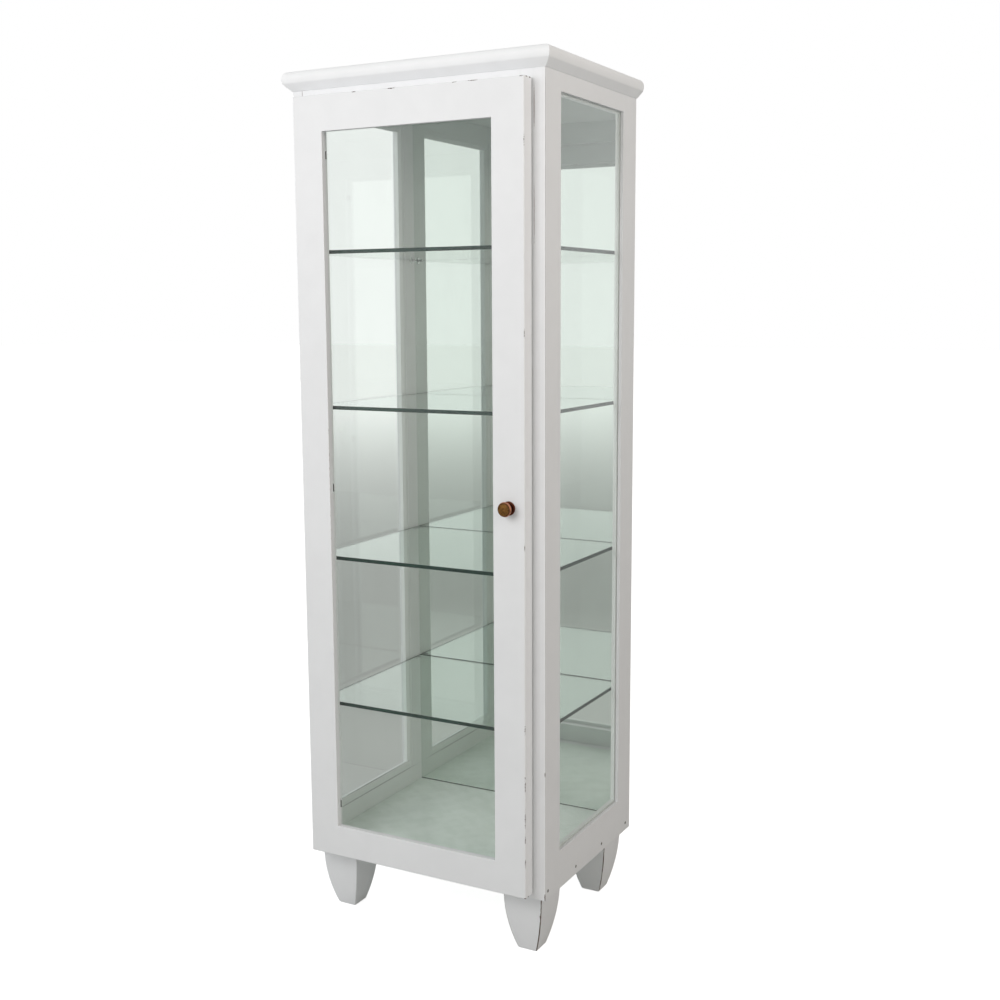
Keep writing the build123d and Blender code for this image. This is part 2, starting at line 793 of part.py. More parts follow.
# Knob
def knob():
    """Turned knob: waisted neck, full round rim and a dished face inside a fine lip."""
    base = rosette_thickness
    front = knob_projection
    back = front - knob_rim_height
    wide = knob_radius
    rim = wide - knob_lip
    well = rim - 2 * knob_lip / 3
    foot_edge = (knob_neck_radius + knob_neck_flare, 0, base)
    waist = (knob_neck_radius + knob_neck_waist, 0, (base + back) / 2)
    rim_back = (rim, 0, back)
    rim_front = (rim, 0, front - knob_crown)
    well_edge = (well, 0, front - knob_well_step)
    dish_edge = (well / 3, 0, front - knob_well_depth)
    dish_middle = (0, 0, front - knob_well_depth)
    lines = [Line((0, 0, base), foot_edge), ThreePointArc(foot_edge, waist, rim_back),
             ThreePointArc(rim_back, (wide, 0, (back + front - knob_crown) / 2), rim_front),
             ThreePointArc(rim_front, ((rim + well) / 2, 0, front), well_edge),
             Line(well_edge, dish_edge), Line(dish_edge, dish_middle), Line(dish_middle, (0, 0, base))]
    body = Plane(origin=(x_knob, y_door_front, z_knob), z_dir=(0, -1, 0)) * revolve(make_face(lines), Axis.Z)
    return body - knob_screw(running_clearance)


def knob_rosette():
    """The round plate under the knob."""
    t = rosette_thickness
    r = rosette_radius
    hole = knob_screw_radius + running_clearance
    points = [(hole, 0), (r, 0), (r, rosette_rim_height), (r - rosette_shoulder, rosette_shoulder_height),
              (r - rosette_slope, t), (hole, t)]
    return turned(points, (x_knob, y_door_front, z_knob), (0, -1, 0))


def knob_screw(spare=0.0):
    """Pan head screw from the back of the stile into the knob."""
    shank = knob_screw_radius + spare
    head = knob_screw_head_radius
    tall = knob_screw_head_height
    reach = door_thickness + rosette_thickness + knob_screw_bite + spare
    points = [(0, -tall), (knob_screw_head_crown, -tall), (head, -knob_screw_head_rim), (head, 0),
              (shank, 0), (shank, reach), (0, reach)]
    return turned(points, (x_knob, y_door_back, z_knob), (0, -1, 0))


# Catch
def catch_body():
    """Magnetic catch on the inner face of the right post."""
    y0 = y_door_back + strike_thickness + catch_air_gap
    body = block(x_post - catch_width, x_post, y0, y_post_back, z_catch - catch_height / 2,
                 z_catch + catch_height / 2)
    body = fillet(body.edges().filter_by(Axis.Y).sort_by(Axis.X)[:2], catch_round)
    for hole in catch_screws(running_clearance):
        body -= hole
    return body


def catch_screws(spare=0.0):
    """Two screws through the catch into the post."""
    y = (y_face + y_post_back) / 2 + catch_screw_set_back
    screws = []
    for side in (-1, 1):
        origin = (x_post - catch_width, y, z_catch + side * catch_screw_spread / 2)
        screws.append(countersunk(origin, (1, 0, 0), catch_screw_radius, catch_screw_head,
                                  catch_screw_head_depth, catch_screw_length, spare))
    return screws


def catch_strike():
    """Steel plate on the door's back, facing the magnets."""
    x_mid = x_post - catch_width / 2
    half_width, half_height = strike_width / 2, strike_height / 2
    plate = block(x_mid - half_width, x_mid + half_width, y_door_back, y_door_back + strike_thickness,
                  z_catch - half_height, z_catch + half_height)
    plate = fillet(plate.edges().filter_by(Axis.Y), strike_round)
    for hole in strike_screws(running_clearance):
        plate -= hole
    return plate


def strike_screws(spare=0.0):
    """Two countersunk screws that hold the strike plate."""
    x_mid = x_post - catch_width / 2
    screws = []
    for side in (-1, 1):
        origin = (x_mid, y_door_back + strike_thickness, z_catch + side * strike_screw_spread / 2)
        screws.append(countersunk(origin, (0, -1, 0), catch_screw_radius, strike_screw_head,
                                  strike_thickness, hinge_screw_length, spare))
    return screws


def post_with_fittings(side):
    """A front post with the holes of its hinges or catch."""
    post = front_post()
    if side < 0:
        post = mirrored(post)
        for z in hinge_heights():
            for hole in hinge_screws(z, True, running_clearance):
                post -= hole
        return post
    for hole in catch_screws(running_clearance):
        post -= hole
    return post


def main():
    """Builds every piece and writes it under its name."""
    os.makedirs("parts", exist_ok=True)
    for name, member in right_side_members().items():
        keep("right_" + name, member)
        keep("left_" + name, mirrored(member))
    keep("right_glass", side_pane())
    keep("left_glass", mirrored(side_pane()))
    keep("right_glass_beads", *side_beads())
    keep("left_glass_beads", *[mirrored(bead) for bead in side_beads()])
    keep("front_post_left", post_with_fittings(-1))
    keep("front_post_right", post_with_fittings(1))
    keep("front_bottom_rail", front_rail(0, z_case, z_floor))
    keep("front_top_rail", front_rail(1, z_ceiling - front_top_rail_height, z_ceiling))
    keep("cabinet_floor", cabinet_floor())
    keep("top_board", top_board())
    keep("top_dowels", *top_dowels(), *[mirrored(d) for d in top_dowels()])
    keep("cornice_front", cornice_front())
    keep("cornice_left", cornice_side(-1))
    keep("cornice_right", cornice_side(1))
    keep("back_bottom_rail", back_rail())
    keep("mirror", back_sheet(y_mirror, y_mirror + mirror_thickness))
    y_panel = y_mirror + mirror_thickness
    keep("back_panel", back_sheet(y_panel, y_panel + panel_thickness))
    keep("back_beads", *back_beads())
    keep("back_bead_pins", *bead_pins())
    for index in range(shelf_count):
        keep("shelf_" + str(index + 1), shelf(index))
    supports = [shelf_support(y, z) for y, z in support_places()]
    keep("shelf_supports", *supports, *[mirrored(s) for s in supports])
    for name, (x, y) in foot_centres().items():
        keep("foot_" + name, foot(x, y))
    keep("foot_dowels", *foot_dowels())
    nails = [side_nail(y) for y in nail_places()]
    keep("side_nails", *nails, *[mirrored(nail) for nail in nails])
    for name, member in door_members().items():
        keep(name, member)
    keep("door_glass", door_pane())
    keep("door_glass_clips", *door_clips())
    keep("door_clip_pins", *clip_pins())
    heights = hinge_heights()
    keep("hinge_frame_leaves", *[hinge_leaf(z, True) for z in heights])
    keep("hinge_door_leaves", *[hinge_leaf(z, False) for z in heights])
    keep("hinge_pins", *[hinge_pin(z) for z in heights])
    keep("hinge_frame_screws", *[screw for z in heights for screw in hinge_screws(z, True)])
    keep("hinge_door_screws", *[screw for z in heights for screw in hinge_screws(z, False)])
    keep("knob", knob())
    keep("knob_rosette", knob_rosette())
    keep("knob_screw", knob_screw())
    keep("catch_body", catch_body())
    keep("catch_screws", *catch_screws())
    keep("catch_strike", catch_strike())
    keep("strike_screws", *strike_screws())


main()
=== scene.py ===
"""A tall glazed china cabinet in worn white paint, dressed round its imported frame."""

import logging
import math
from dataclasses import dataclass
from enum import Enum
from functools import cache

import bmesh
import bpy
from mathutils import Matrix, Vector


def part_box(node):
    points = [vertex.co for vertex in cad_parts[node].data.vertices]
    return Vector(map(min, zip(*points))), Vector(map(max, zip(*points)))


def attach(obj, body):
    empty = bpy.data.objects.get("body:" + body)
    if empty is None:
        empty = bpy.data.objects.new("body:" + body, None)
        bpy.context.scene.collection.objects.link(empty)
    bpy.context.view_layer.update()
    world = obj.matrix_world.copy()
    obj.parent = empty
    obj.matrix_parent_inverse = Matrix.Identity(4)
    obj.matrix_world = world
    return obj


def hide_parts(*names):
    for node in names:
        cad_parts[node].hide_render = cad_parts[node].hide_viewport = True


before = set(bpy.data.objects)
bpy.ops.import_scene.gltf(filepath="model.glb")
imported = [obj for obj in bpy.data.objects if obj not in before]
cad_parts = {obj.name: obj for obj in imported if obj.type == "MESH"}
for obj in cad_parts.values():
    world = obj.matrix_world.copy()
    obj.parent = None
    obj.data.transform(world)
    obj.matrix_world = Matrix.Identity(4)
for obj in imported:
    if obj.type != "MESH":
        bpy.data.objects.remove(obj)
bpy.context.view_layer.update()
NODES: dict[str, bpy.types.Object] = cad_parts
LOG = logging.getLogger("china_cabinet")

BMesh = bmesh.types.BMesh
Material = bpy.types.Material
Mesh = bpy.types.Mesh
Node = bpy.types.Node
Outputs = bpy.types.NodeOutputs
Socket = bpy.types.NodeSocket
Tree = bpy.types.NodeTree
Triple = tuple[float, float, float]
Colour = tuple[float, float, float, float]
Input = Socket | float | Triple | Colour
Level = tuple[int, float]  # An axis, 0 for x to 2 for z, and a place along it.

ORIGIN: Triple = (0.0, 0.0, 0.0)
WHITE: Colour = (1.0, 1.0, 1.0, 1.0)
CORNERS = {"Low": "low_corner", "High": "high_corner"}
WELD = 2e-6  # Metres within which two corners are one.
FLAT = 0.004  # Radians within which two faces are one.
LOOKING = 0.7  # Least part of a face's normal for it to look a way.


def rgb(red: float, green: float, blue: float) -> Colour:
    """Turns screen values, 0 to 255, into the linear colour that a shader takes, with full alpha."""
    levels = (value / 255.0 for value in (red, green, blue))
    return (*(c / 12.92 if c <= 0.04045 else ((c + 0.055) / 1.055) ** 2.4 for c in levels), 1.0)


class Run(Enum):
    """The way a board's length runs: how closely its brush strokes lie along each axis."""

    ACROSS = (4.0, 90.0, 90.0)
    DEEP = (90.0, 4.0, 90.0)
    UPRIGHT = (90.0, 90.0, 4.0)
    MIXED = (30.0, 30.0, 30.0)


class Arris(Enum):
    """How a painted piece tells how near a point is to its arrises."""

    BOXED = "boxed"
    FOUR_SIDED = "four sided"
    HIDDEN = "hidden"


@dataclass
class Sketch:
    """Places and joins nodes in one node tree, in rows."""

    tree: Tree
    row_length: int = 8
    across: int = 220
    down: int = 260

    def add(self, kind: str, values: dict[str | int, Input] | None = None, **settings: object) -> Node:
        """Adds a node, sets it, and joins or fills its inputs.

        Args:
            kind: Blender's node type.
            values: Input name or index to a plain value or to another node's output socket.
            settings: Properties of the node itself.

        Returns:
            The new node.
        """
        row, column = divmod(len(self.tree.nodes), self.row_length)
        node = self.tree.nodes.new(kind)
        node.location = (column * self.across, -row * self.down)
        for name, setting in settings.items():
            setattr(node, name, setting)
        for key, value in (values or {}).items():
            if isinstance(value, Socket):
                self.tree.links.new(value, node.inputs[key])
            else:
                node.inputs[key].default_value = value
        return node

    def use(self, group: Tree, values: dict[str, Input]) -> Outputs:
        """Places a node group with its own values, and gives its outputs by name."""
        return self.add("ShaderNodeGroup", values, node_tree=group).outputs

    def maths(self, operation: str, a: Input, b: Input = 0.0, c: Input = 0.0,
              clamp: bool = False) -> Socket:
        """One sum, by Blender's name of it, of sockets or numbers; clamp keeps it between 0 and 1."""
        node = self.add("ShaderNodeMath", {0: a, 1: b, 2: c}, operation=operation, use_clamp=clamp)
        return node.outputs[0]

    def shares(self, first: Socket, share: float, second: Socket) -> Socket:
        """Two variations in one: the first has its share, and the second what is left."""
        return self.maths("MULTIPLY_ADD", first, share, self.maths("MULTIPLY", second, 1.0 - share))

    def vector(self, operation: str, a: Input, b: Input = ORIGIN) -> Socket:
        """One vector sum, by Blender's name of it, which gives a vector or a length."""
        node = self.add("ShaderNodeVectorMath", {0: a, 1: b}, operation=operation)
        return node.outputs["Value" if operation == "LENGTH" else "Vector"]

    def parts(self, vector: Socket) -> tuple[Socket, Socket, Socket]:
        """A vector's x, y and z."""
        return tuple(self.add("ShaderNodeSeparateXYZ", {0: vector}).outputs)

    def ramp(self, value: Input, low: float, high: float, start: float = 0.0, end: float = 1.0) -> Socket:
        """A smooth step that follows a value: start at low and before, end at high and past it."""
        values = {"Value": value, "From Min": low, "From Max": high, "To Min": start, "To Max": end}
        return self.add("ShaderNodeMapRange", values, interpolation_type="SMOOTHSTEP").outputs["Result"]

    def noise(self, place: Socket, scale: Input, detail: float = 3.0, rough: float = 0.5) -> Socket:
        """Random variation, 0 to 1. Scale is its cells to a metre, and detail its finer layers."""
        values = {"Vector": place, "Scale": scale, "Detail": detail, "Roughness": rough}
        return self.add("ShaderNodeTexNoise", values).outputs["Fac"]

    def blend(self, mask: Socket, first: Input, second: Input) -> Socket:
        """Colour that is the first where the mask is 0, and the second where it is 1."""
        return self.add("ShaderNodeMix", {"Factor": mask, 6: first, 7: second}, data_type="RGBA").outputs[2]

    def rays(self, *kinds: str) -> Socket:
        """Tells some kinds of ray from the rest.

        Args:
            kinds: Blender's names of the kinds.

        Returns:
            The socket of a mask that is 1 for them.
        """
        path = self.add("ShaderNodeLightPath")
        mask = path.outputs[f"Is {kinds[0]} Ray"]
        for kind in kinds[1:]:
            mask = self.maths("MAXIMUM", mask, path.outputs[f"Is {kind} Ray"])
        return mask


class GroupSketch(Sketch):
    """A sketch of a new node group."""

    def __init__(self, name: str, inputs: dict[str, Input]) -> None:
        """Opens the group.

        Args:
            name: The group's name.
            inputs: Input name to first value, a number or a vector.
        """
        group = bpy.data.node_groups.new(name, "ShaderNodeTree")
        for label, value in inputs.items():
            kind = "NodeSocketVector" if isinstance(value, tuple) else "NodeSocketFloat"
            group.interface.new_socket(label, in_out="INPUT", socket_type=kind).default_value = value
        super().__init__(group)
        source = self.add("NodeGroupInput")
        self.given = [source.outputs[label] for label in inputs]

    def finish(self, outputs: dict[str, Socket]) -> Tree:
        """Closes the group with its outputs, which are all numbers.

        Args:
            outputs: Output name to socket.

        Returns:
            The group.
        """
        for label in outputs:
            self.tree.interface.new_socket(label, in_out="OUTPUT", socket_type="NodeSocketFloat")
        self.add("NodeGroupOutput", outputs)
        return self.tree


class MaterialSketch(Sketch):
    """A sketch of a new material. Its place is the point in the piece's own frame, in metres."""

    def __init__(self, name: str) -> None:
        """Opens the material.

        Args:
            name: Its name.
        """
        self.material = bpy.data.materials.new(name)
        self.material.use_nodes = True
        self.material.node_tree.nodes.clear()
        super().__init__(self.material.node_tree)
        self.place = self.add("ShaderNodeTexCoord").outputs["Object"]

    def surface(self, colour: Socket, rough: Socket, height: Socket | None = None,
                plain: dict[str, float] | None = None) -> Socket:
        """The Principled shader.

        Args:
            colour: Its colour.
            rough: Its roughness.
            height: Height of its relief in metres.
            plain: Its other inputs by name, which are the same all over the surface.

        Returns:
            The shader's socket.
        """
        values = {"Base Color": colour, "Roughness": rough, **(plain or {})}
        if height is not None:
            bump = self.add("ShaderNodeBump", {"Height": height, "Distance": 1.0, "Strength": 1.0})
            values["Normal"] = bump.outputs[0]
        return self.add("ShaderNodeBsdfPrincipled", values).outputs[0]

    def finish(self, shader: Socket) -> Material:
        """Joins a shader to the material's output, and gives the material."""
        self.add("ShaderNodeOutputMaterial", {"Surface": shader})
        return self.material


# The next seven functions give the effects that finishes share. Each group is built once and kept.
@cache
def brushwork() -> Tree:
    """Brush strokes along a board, with soft cloudy tone under them.

    Returns:
        The group, with outputs Tone, Strokes and Height.
    """
    s = GroupSketch("brushwork", {"Place": ORIGIN, "Run": ORIGIN})
    place, run = s.given
    stretched = s.vector("MULTIPLY", place, run)
    strokes = s.noise(stretched, 3.0, detail=4.0, rough=0.6)
    fine = s.noise(stretched, 11.0, detail=2.0)
    clouds = s.noise(place, 5.0, rough=0.55)
    blots = s.noise(place, 26.0)
    return s.finish({"Tone": s.shares(clouds, 0.65, blots), "Strokes": strokes,
                     "Height": s.shares(strokes, 0.7, fine)})


@cache
def boxed_arris() -> Tree:
    """Distance from a square-cut board's nearest arris: the middle one of its distances from the faces.

    Returns:
        The group, with output Distance in metres.
    """
    s = GroupSketch("boxed_arris", {"Place": ORIGIN, "Low": ORIGIN, "High": ORIGIN})
    place, low, high = s.given
    from_low = s.vector("ABSOLUTE", s.vector("SUBTRACT", place, low))
    from_high = s.vector("ABSOLUTE", s.vector("SUBTRACT", high, place))
    x, y, z = s.parts(s.vector("MINIMUM", from_low, from_high))
    least = s.maths("MINIMUM", s.maths("MINIMUM", x, y), z)
    most = s.maths("MAXIMUM", s.maths("MAXIMUM", x, y), z)
    total = s.maths("ADD", s.maths("ADD", x, y), z)
    return s.finish({"Distance": s.maths("SUBTRACT", s.maths("SUBTRACT", total, least), most)})


@cache
def four_sided_arris() -> Tree:
    """Distance from the arris of an upright four-sided foot.

    Returns:
        The group, with output Distance in metres.
    """
    s = GroupSketch("four_sided_arris", {"Place": ORIGIN, "Low": ORIGIN, "High": ORIGIN})
    place, low, high = s.given
    middle = s.vector("MULTIPLY", s.vector("ADD", low, high), (0.5, 0.5, 0.5))
    x, y, _ = s.parts(s.vector("ABSOLUTE", s.vector("SUBTRACT", place, middle)))
    return s.finish({"Distance": s.maths("ABSOLUTE", s.maths("SUBTRACT", x, y))})


@cache
def chipping() -> Tree:
    """Paint worn through along arrises, broken up, with a paler rim of undercoat.

    Returns:
        The group, with outputs Bare and Rim.
    """
    s = GroupSketch("chipping", {"Place": ORIGIN, "Run": ORIGIN, "Distance": 1.0, "Width": 0.001,
                                 "Amount": 0.3})
    place, run, distance, width, amount = s.given
    patches = s.noise(s.vector("MULTIPLY", place, run), 0.55, rough=0.6)
    nibble = s.noise(place, 420.0, rough=0.6)
    over = s.maths("SUBTRACT", s.shares(patches, 0.75, nibble), s.maths("SUBTRACT", 1.0, amount))
    reach = s.maths("MULTIPLY", s.maths("MULTIPLY", over, 12.0, clamp=True), width)
    depth = s.maths("SUBTRACT", reach, distance)
    bare = s.ramp(depth, 0.0, 0.00025)
    rim = s.maths("SUBTRACT", s.ramp(depth, -0.0007, -0.0001), bare, clamp=True)
    some = s.ramp(over, 0.0, 0.01)
    return s.finish({"Bare": s.maths("MULTIPLY", bare, some), "Rim": s.maths("MULTIPLY", rim, some)})


@cache
def spot() -> Tree:
    """One ragged mark at a place, long or round.

    Returns:
        The group, with output Mask.
    """
    s = GroupSketch("spot", {"Place": ORIGIN, "Centre": ORIGIN, "Reach": (0.002, 0.002, 0.002),
                             "Ragged": 0.6})
    place, centre, reach, ragged = s.given
    distance = s.vector("LENGTH", s.vector("DIVIDE", s.vector("SUBTRACT", place, centre), reach))
    unevenness = s.maths("SUBTRACT", s.noise(place, 520.0, rough=0.6), 0.5)
    edge = s.maths("MULTIPLY_ADD", s.maths("MULTIPLY", unevenness, ragged), 2.4, distance)
    return s.finish({"Mask": s.ramp(edge, 0.8, 1.05, 1.0, 0.0)})


@cache
def streak() -> Tree:
    """Wiped streaks on a level board.

    Returns:
        The group, with outputs Streaks and Haze.
    """
    s = GroupSketch("streak", {"Place": ORIGIN, "Slant": 0.5})
    place, slant = s.given
    turned = s.add("ShaderNodeVectorRotate", {"Vector": place, "Angle": slant}, rotation_type="Z_AXIS")
    drawn = s.vector("MULTIPLY", turned.outputs[0], (5.0, 13.0, 5.0))
    return s.finish({"Streaks": s.noise(drawn, 2.6, detail=6.0, rough=0.7),
                     "Haze": s.noise(place, 7.0, detail=2.0)})


@cache
def tarnish() -> Tree:
    """Uneven darkening and fine scratches on metal.

    Returns:
        The group, with outputs Dark and Scratches.
    """
    s = GroupSketch("tarnish", {"Place": ORIGIN, "Scale": 160.0})
    place, scale = s.given
    drawn = s.vector("MULTIPLY", place, (900.0, 160.0, 2400.0))
    return s.finish({"Dark": s.ramp(s.noise(place, scale, detail=4.0), 0.35, 0.7),
                     "Scratches": s.noise(drawn, 1.0, detail=2.0, rough=0.6)})


@dataclass(frozen=True)
class Mark:
    """A ragged worn or dirty mark on the paint, or a line of painted shade, in metres."""

    centre: Triple
    reach: Triple
    ragged: float = 0.6
    tone: Colour = rgb(150, 132, 132)

    def mask(self, s: MaterialSketch) -> Socket:
        """Where the mark lies, as a mask in the paint's sketch."""
        values = {"Place": s.place, "Centre": self.centre, "Reach": self.reach, "Ragged": self.ragged}
        return s.use(spot(), values)["Mask"]


@dataclass(frozen=True)
class Paint:
    """Brushed paint on timber, worn through along its arrises."""

    name: str
    top: Colour = rgb(239, 240, 242)
    shade: Colour = rgb(235, 236, 238)
    bare: Colour = rgb(84, 68, 62)
    undercoat: Colour = rgb(250, 248, 244)
    rough: float = 0.34
    rough_strokes: float = 0.16
    rough_bare: float = 0.35
    relief: float = 0.00012
    thickness: float = 0.0002
    stain_and_shade_strength: float = 0.8
    rim_strength: float = 0.6
    # A lighter colour for faces that look to the right: painted light on that side, not a colour of the
    # paint.
    painted_light_flank: Colour | None = None
    wear_width: float = 0.0011
    wear_amount: float = 0.4
    arris: Arris = Arris.BOXED
    run: Run = Run.UPRIGHT
    chips: tuple[Mark, ...] = ()
    stains_and_shade: tuple[Mark, ...] = ()

    def wear(self, s: MaterialSketch) -> Outputs:
        """Draws the wear along the arrises. It reads each piece's low and high corners from its mesh.

        Args:
            s: The paint's sketch.

        Returns:
            The sockets Bare and Rim.
        """
        corners = {label: s.add("ShaderNodeAttribute", attribute_name=name).outputs["Vector"]
                   for label, name in CORNERS.items()}
        group = boxed_arris() if self.arris is Arris.BOXED else four_sided_arris()
        distance = s.use(group, {"Place": s.place, **corners})["Distance"]
        along = tuple(value / 2 for value in self.run.value)
        return s.use(chipping(), {"Place": s.place, "Run": along, "Distance": distance,
                                  "Width": self.wear_width, "Amount": self.wear_amount})

    def build(self) -> Material:
        """Draws the paint.

        Returns:
            The material.
        """
        s = MaterialSketch(self.name)
        brush = s.use(brushwork(), {"Place": s.place, "Run": self.run.value})
        colour = s.blend(s.ramp(brush["Tone"], 0.3, 0.72), self.top, self.shade)
        # Painted light: faces that look to the right (+x) are blended toward the lighter flank colour,
        # standing in for the light that falls on that side.
        if self.painted_light_flank is not None:
            facing_right = s.parts(s.add("ShaderNodeTexCoord").outputs["Normal"])[0]
            colour = s.blend(s.ramp(facing_right, 0.3, 0.9), colour, self.painted_light_flank)
        rough = s.maths("MULTIPLY_ADD", brush["Strokes"], self.rough_strokes, self.rough)
        height = s.maths("MULTIPLY", brush["Height"], self.relief)
        # Stains, rust and dark cracks are blended in here, and so is the painted shade along the door's
        # head.
        for mark_or_shade in self.stains_and_shade:
            colour = s.blend(s.maths("MULTIPLY", mark_or_shade.mask(s), self.stain_and_shade_strength), colour, mark_or_shade.tone)
        if self.arris is not Arris.HIDDEN:
            worn = self.wear(s)
            colour = s.blend(s.maths("MULTIPLY", worn["Rim"], self.rim_strength), colour, self.undercoat)
            bare = worn["Bare"]
            for chip in self.chips:
                bare = s.maths("MAXIMUM", bare, chip.mask(s))
            colour = s.blend(bare, colour, self.bare)
            rough = s.maths("MULTIPLY_ADD", bare, self.rough_bare, rough)
            height = s.maths("MULTIPLY_ADD", bare, -self.thickness, height)
        return s.finish(s.surface(colour, rough, height, {"Specular IOR Level": 0.4}))


@dataclass(frozen=True)
class Pane:
    """Clear sheet glass that lets light through to what stands behind it."""

    name: str
    tint: Colour = rgb(250, 253, 251)
    smeared: float = 0.985
    smear: float = 0.02

    def build(self) -> Material:
        """Draws the glass.

        Returns:
            The material.
        """
        s = MaterialSketch(self.name)
        wiped = s.noise(s.vector("MULTIPLY", s.place, (5.0, 5.0, 2.0)), 3.0, detail=4.0, rough=0.6)
        duller = (*(value * self.smeared for value in self.tint[:3]), 1.0)
        colour = s.blend(s.ramp(wiped, 0.4, 0.8), self.tint, duller)
        rough = s.ramp(wiped, 0.5, 0.85, 0.0, self.smear)
        glass = s.surface(colour, rough, plain={"IOR": 1.5, "Transmission Weight": 1.0})
        clear = s.add("ShaderNodeBsdfTransparent", {"Color": WHITE}).outputs[0]
        through = s.rays("Shadow", "Diffuse")
        return s.finish(s.add("ShaderNodeMixShader", {0: through, 1: glass, 2: clear}).outputs[0])


@dataclass(frozen=True)
class GroundEdge:
    """The dark green ground edge of thick sheet glass."""

    name: str
    deep: Colour = rgb(6, 40, 32)
    light: Colour = rgb(16, 68, 54)

    def build(self) -> Material:
        """Draws the edge.

        Returns:
            The material.
        """
        s = MaterialSketch(self.name)
        bands = s.noise(s.vector("MULTIPLY", s.place, (14.0, 14.0, 900.0)), 1.0, rough=0.6)
        colour = s.blend(s.ramp(bands, 0.42, 0.75), self.deep, self.light)
        rough = s.ramp(s.noise(s.place, 600.0, detail=2.0), 0.3, 0.7, 0.12, 0.3)
        return s.finish(s.surface(colour, rough, plain={"IOR": 1.5, "Specular IOR Level": 0.12}))


@dataclass(frozen=True)
class Silvering:
    """A mirror, a little green and a little soft, with a dark line along its foot."""

    name: str
    tint: Colour = rgb(230, 237, 232)
    worn: Colour = rgb(188, 196, 190)
    foot_dark: Colour = rgb(70, 84, 76)
    foot_dark_top: float = 0.1736
    foot_dark_fade: float = 0.001
    foot_dark_ragged: float = 0.0014

    def build(self) -> Material:
        """Draws the mirror.

        Returns:
            The material.
        """
        s = MaterialSketch(self.name)
        foxing = s.ramp(s.noise(s.place, 60.0, detail=4.0, rough=0.7), 0.74, 0.82)
        colour = s.blend(foxing, self.tint, self.worn)
        height = s.parts(s.place)[2]
        # A dark line along the mirror's foot, where it meets the cabinet floor.
        ragged = s.maths("MULTIPLY_ADD", s.noise(s.place, 70.0, rough=0.6), self.foot_dark_ragged, height)
        foot_dark_mask = s.ramp(ragged, self.foot_dark_top, self.foot_dark_top + self.foot_dark_fade, 1.0, 0.0)
        colour = s.blend(foot_dark_mask, colour, self.foot_dark)
        rough = s.ramp(s.noise(s.place, 9.0), 0.35, 0.75, 0.012, 0.035)
        return s.finish(s.surface(colour, rough, plain={"Metallic": 1.0}))


@dataclass(frozen=True)
class InsidePaint:
    """Pale painted board inside the case, marked by wiping."""

    name: str
    pale: Colour = rgb(236, 247, 240)
    dull: Colour = rgb(222, 235, 226)
    slants: tuple[float, float] = (0.6, -0.9)
    rough: float = 0.25
    rough_haze: float = 0.25
    relief: float = 0.0001

    def build(self) -> Material:
        """Draws the board.

        Returns:
            The material.
        """
        s = MaterialSketch(self.name)
        wipe, cross = (s.use(streak(), {"Place": s.place, "Slant": slant}) for slant in self.slants)
        mixed = s.shares(wipe["Streaks"], 0.6, cross["Streaks"])
        colour = s.blend(s.ramp(mixed, 0.4, 0.64), self.pale, self.dull)
        rough = s.maths("MULTIPLY_ADD", wipe["Haze"], self.rough_haze, self.rough)
        return s.finish(s.surface(colour, rough, s.maths("MULTIPLY", mixed, self.relief)))


@dataclass(frozen=True)
class Metal:
    """Plain metal with tarnish and fine scratches."""

    name: str
    bright: Colour
    dark: Colour
    rough: float
    rough_scratches: float = 0.3
    cells: float = 160.0
    relief: float = 0.00003

    def build(self) -> Material:
        """Draws the metal.

        Returns:
            The material.
        """
        s = MaterialSketch(self.name)
        worn = s.use(tarnish(), {"Place": s.place, "Scale": self.cells})
        scratches = worn["Scratches"]
        colour = s.blend(worn["Dark"], self.bright, self.dark)
        rough = s.maths("MULTIPLY_ADD", scratches, self.rough_scratches, self.rough)
        height = s.maths("MULTIPLY", scratches, self.relief)
        return s.finish(s.surface(colour, rough, height, {"Metallic": 1.0}))


@dataclass(frozen=True)
class AgedBronze:
    """Antique bronze on a turned knob: brown face, dark border, coppery rim. Radii and depths in metres."""

    name: str
    axis: Triple
    face: Colour = rgb(142, 102, 56)
    border: Colour = rgb(58, 38, 26)
    rim: Colour = rgb(176, 120, 92)
    neck: Colour = rgb(96, 52, 38)
    tarnish_strength: float = 0.6
    face_radius: float = 0.0118
    face_fade: float = 0.0012
    rim_radius: float = 0.0132
    rim_fade: float = 0.0008
    neck_depth: float = 0.0135
    neck_fade: float = 0.004
    rough: float = 0.28
    rough_tarnish: float = 0.2
    cells: float = 260.0
    relief: float = 0.00006

    def build(self) -> Material:
        """Draws the bronze, ringed round the knob's axis.

        Returns:
            The material.
        """
        s = MaterialSketch(self.name)
        x, y, z = s.parts(s.vector("SUBTRACT", s.place, self.axis))
        radius = s.maths("SQRT", s.maths("ADD", s.maths("POWER", x, 2.0), s.maths("POWER", z, 2.0)))
        depth = s.maths("MULTIPLY", y, -1.0)
        dark = s.use(tarnish(), {"Place": s.place, "Scale": self.cells})["Dark"]
        colour = s.blend(s.maths("MULTIPLY", dark, self.tarnish_strength), self.face, self.border)
        for start, fade, ring in ((self.face_radius, self.face_fade, self.border),
                                  (self.rim_radius, self.rim_fade, self.rim)):
            colour = s.blend(s.ramp(radius, start, start + fade), colour, ring)
        front = s.ramp(depth, self.neck_depth, self.neck_depth + self.neck_fade)
        colour = s.blend(front, self.neck, colour)
        rough = s.maths("MULTIPLY_ADD", dark, self.rough_tarnish, self.rough)
        height = s.maths("MULTIPLY", dark, self.relief)
        return s.finish(s.surface(colour, rough, height, {"Metallic": 1.0}))


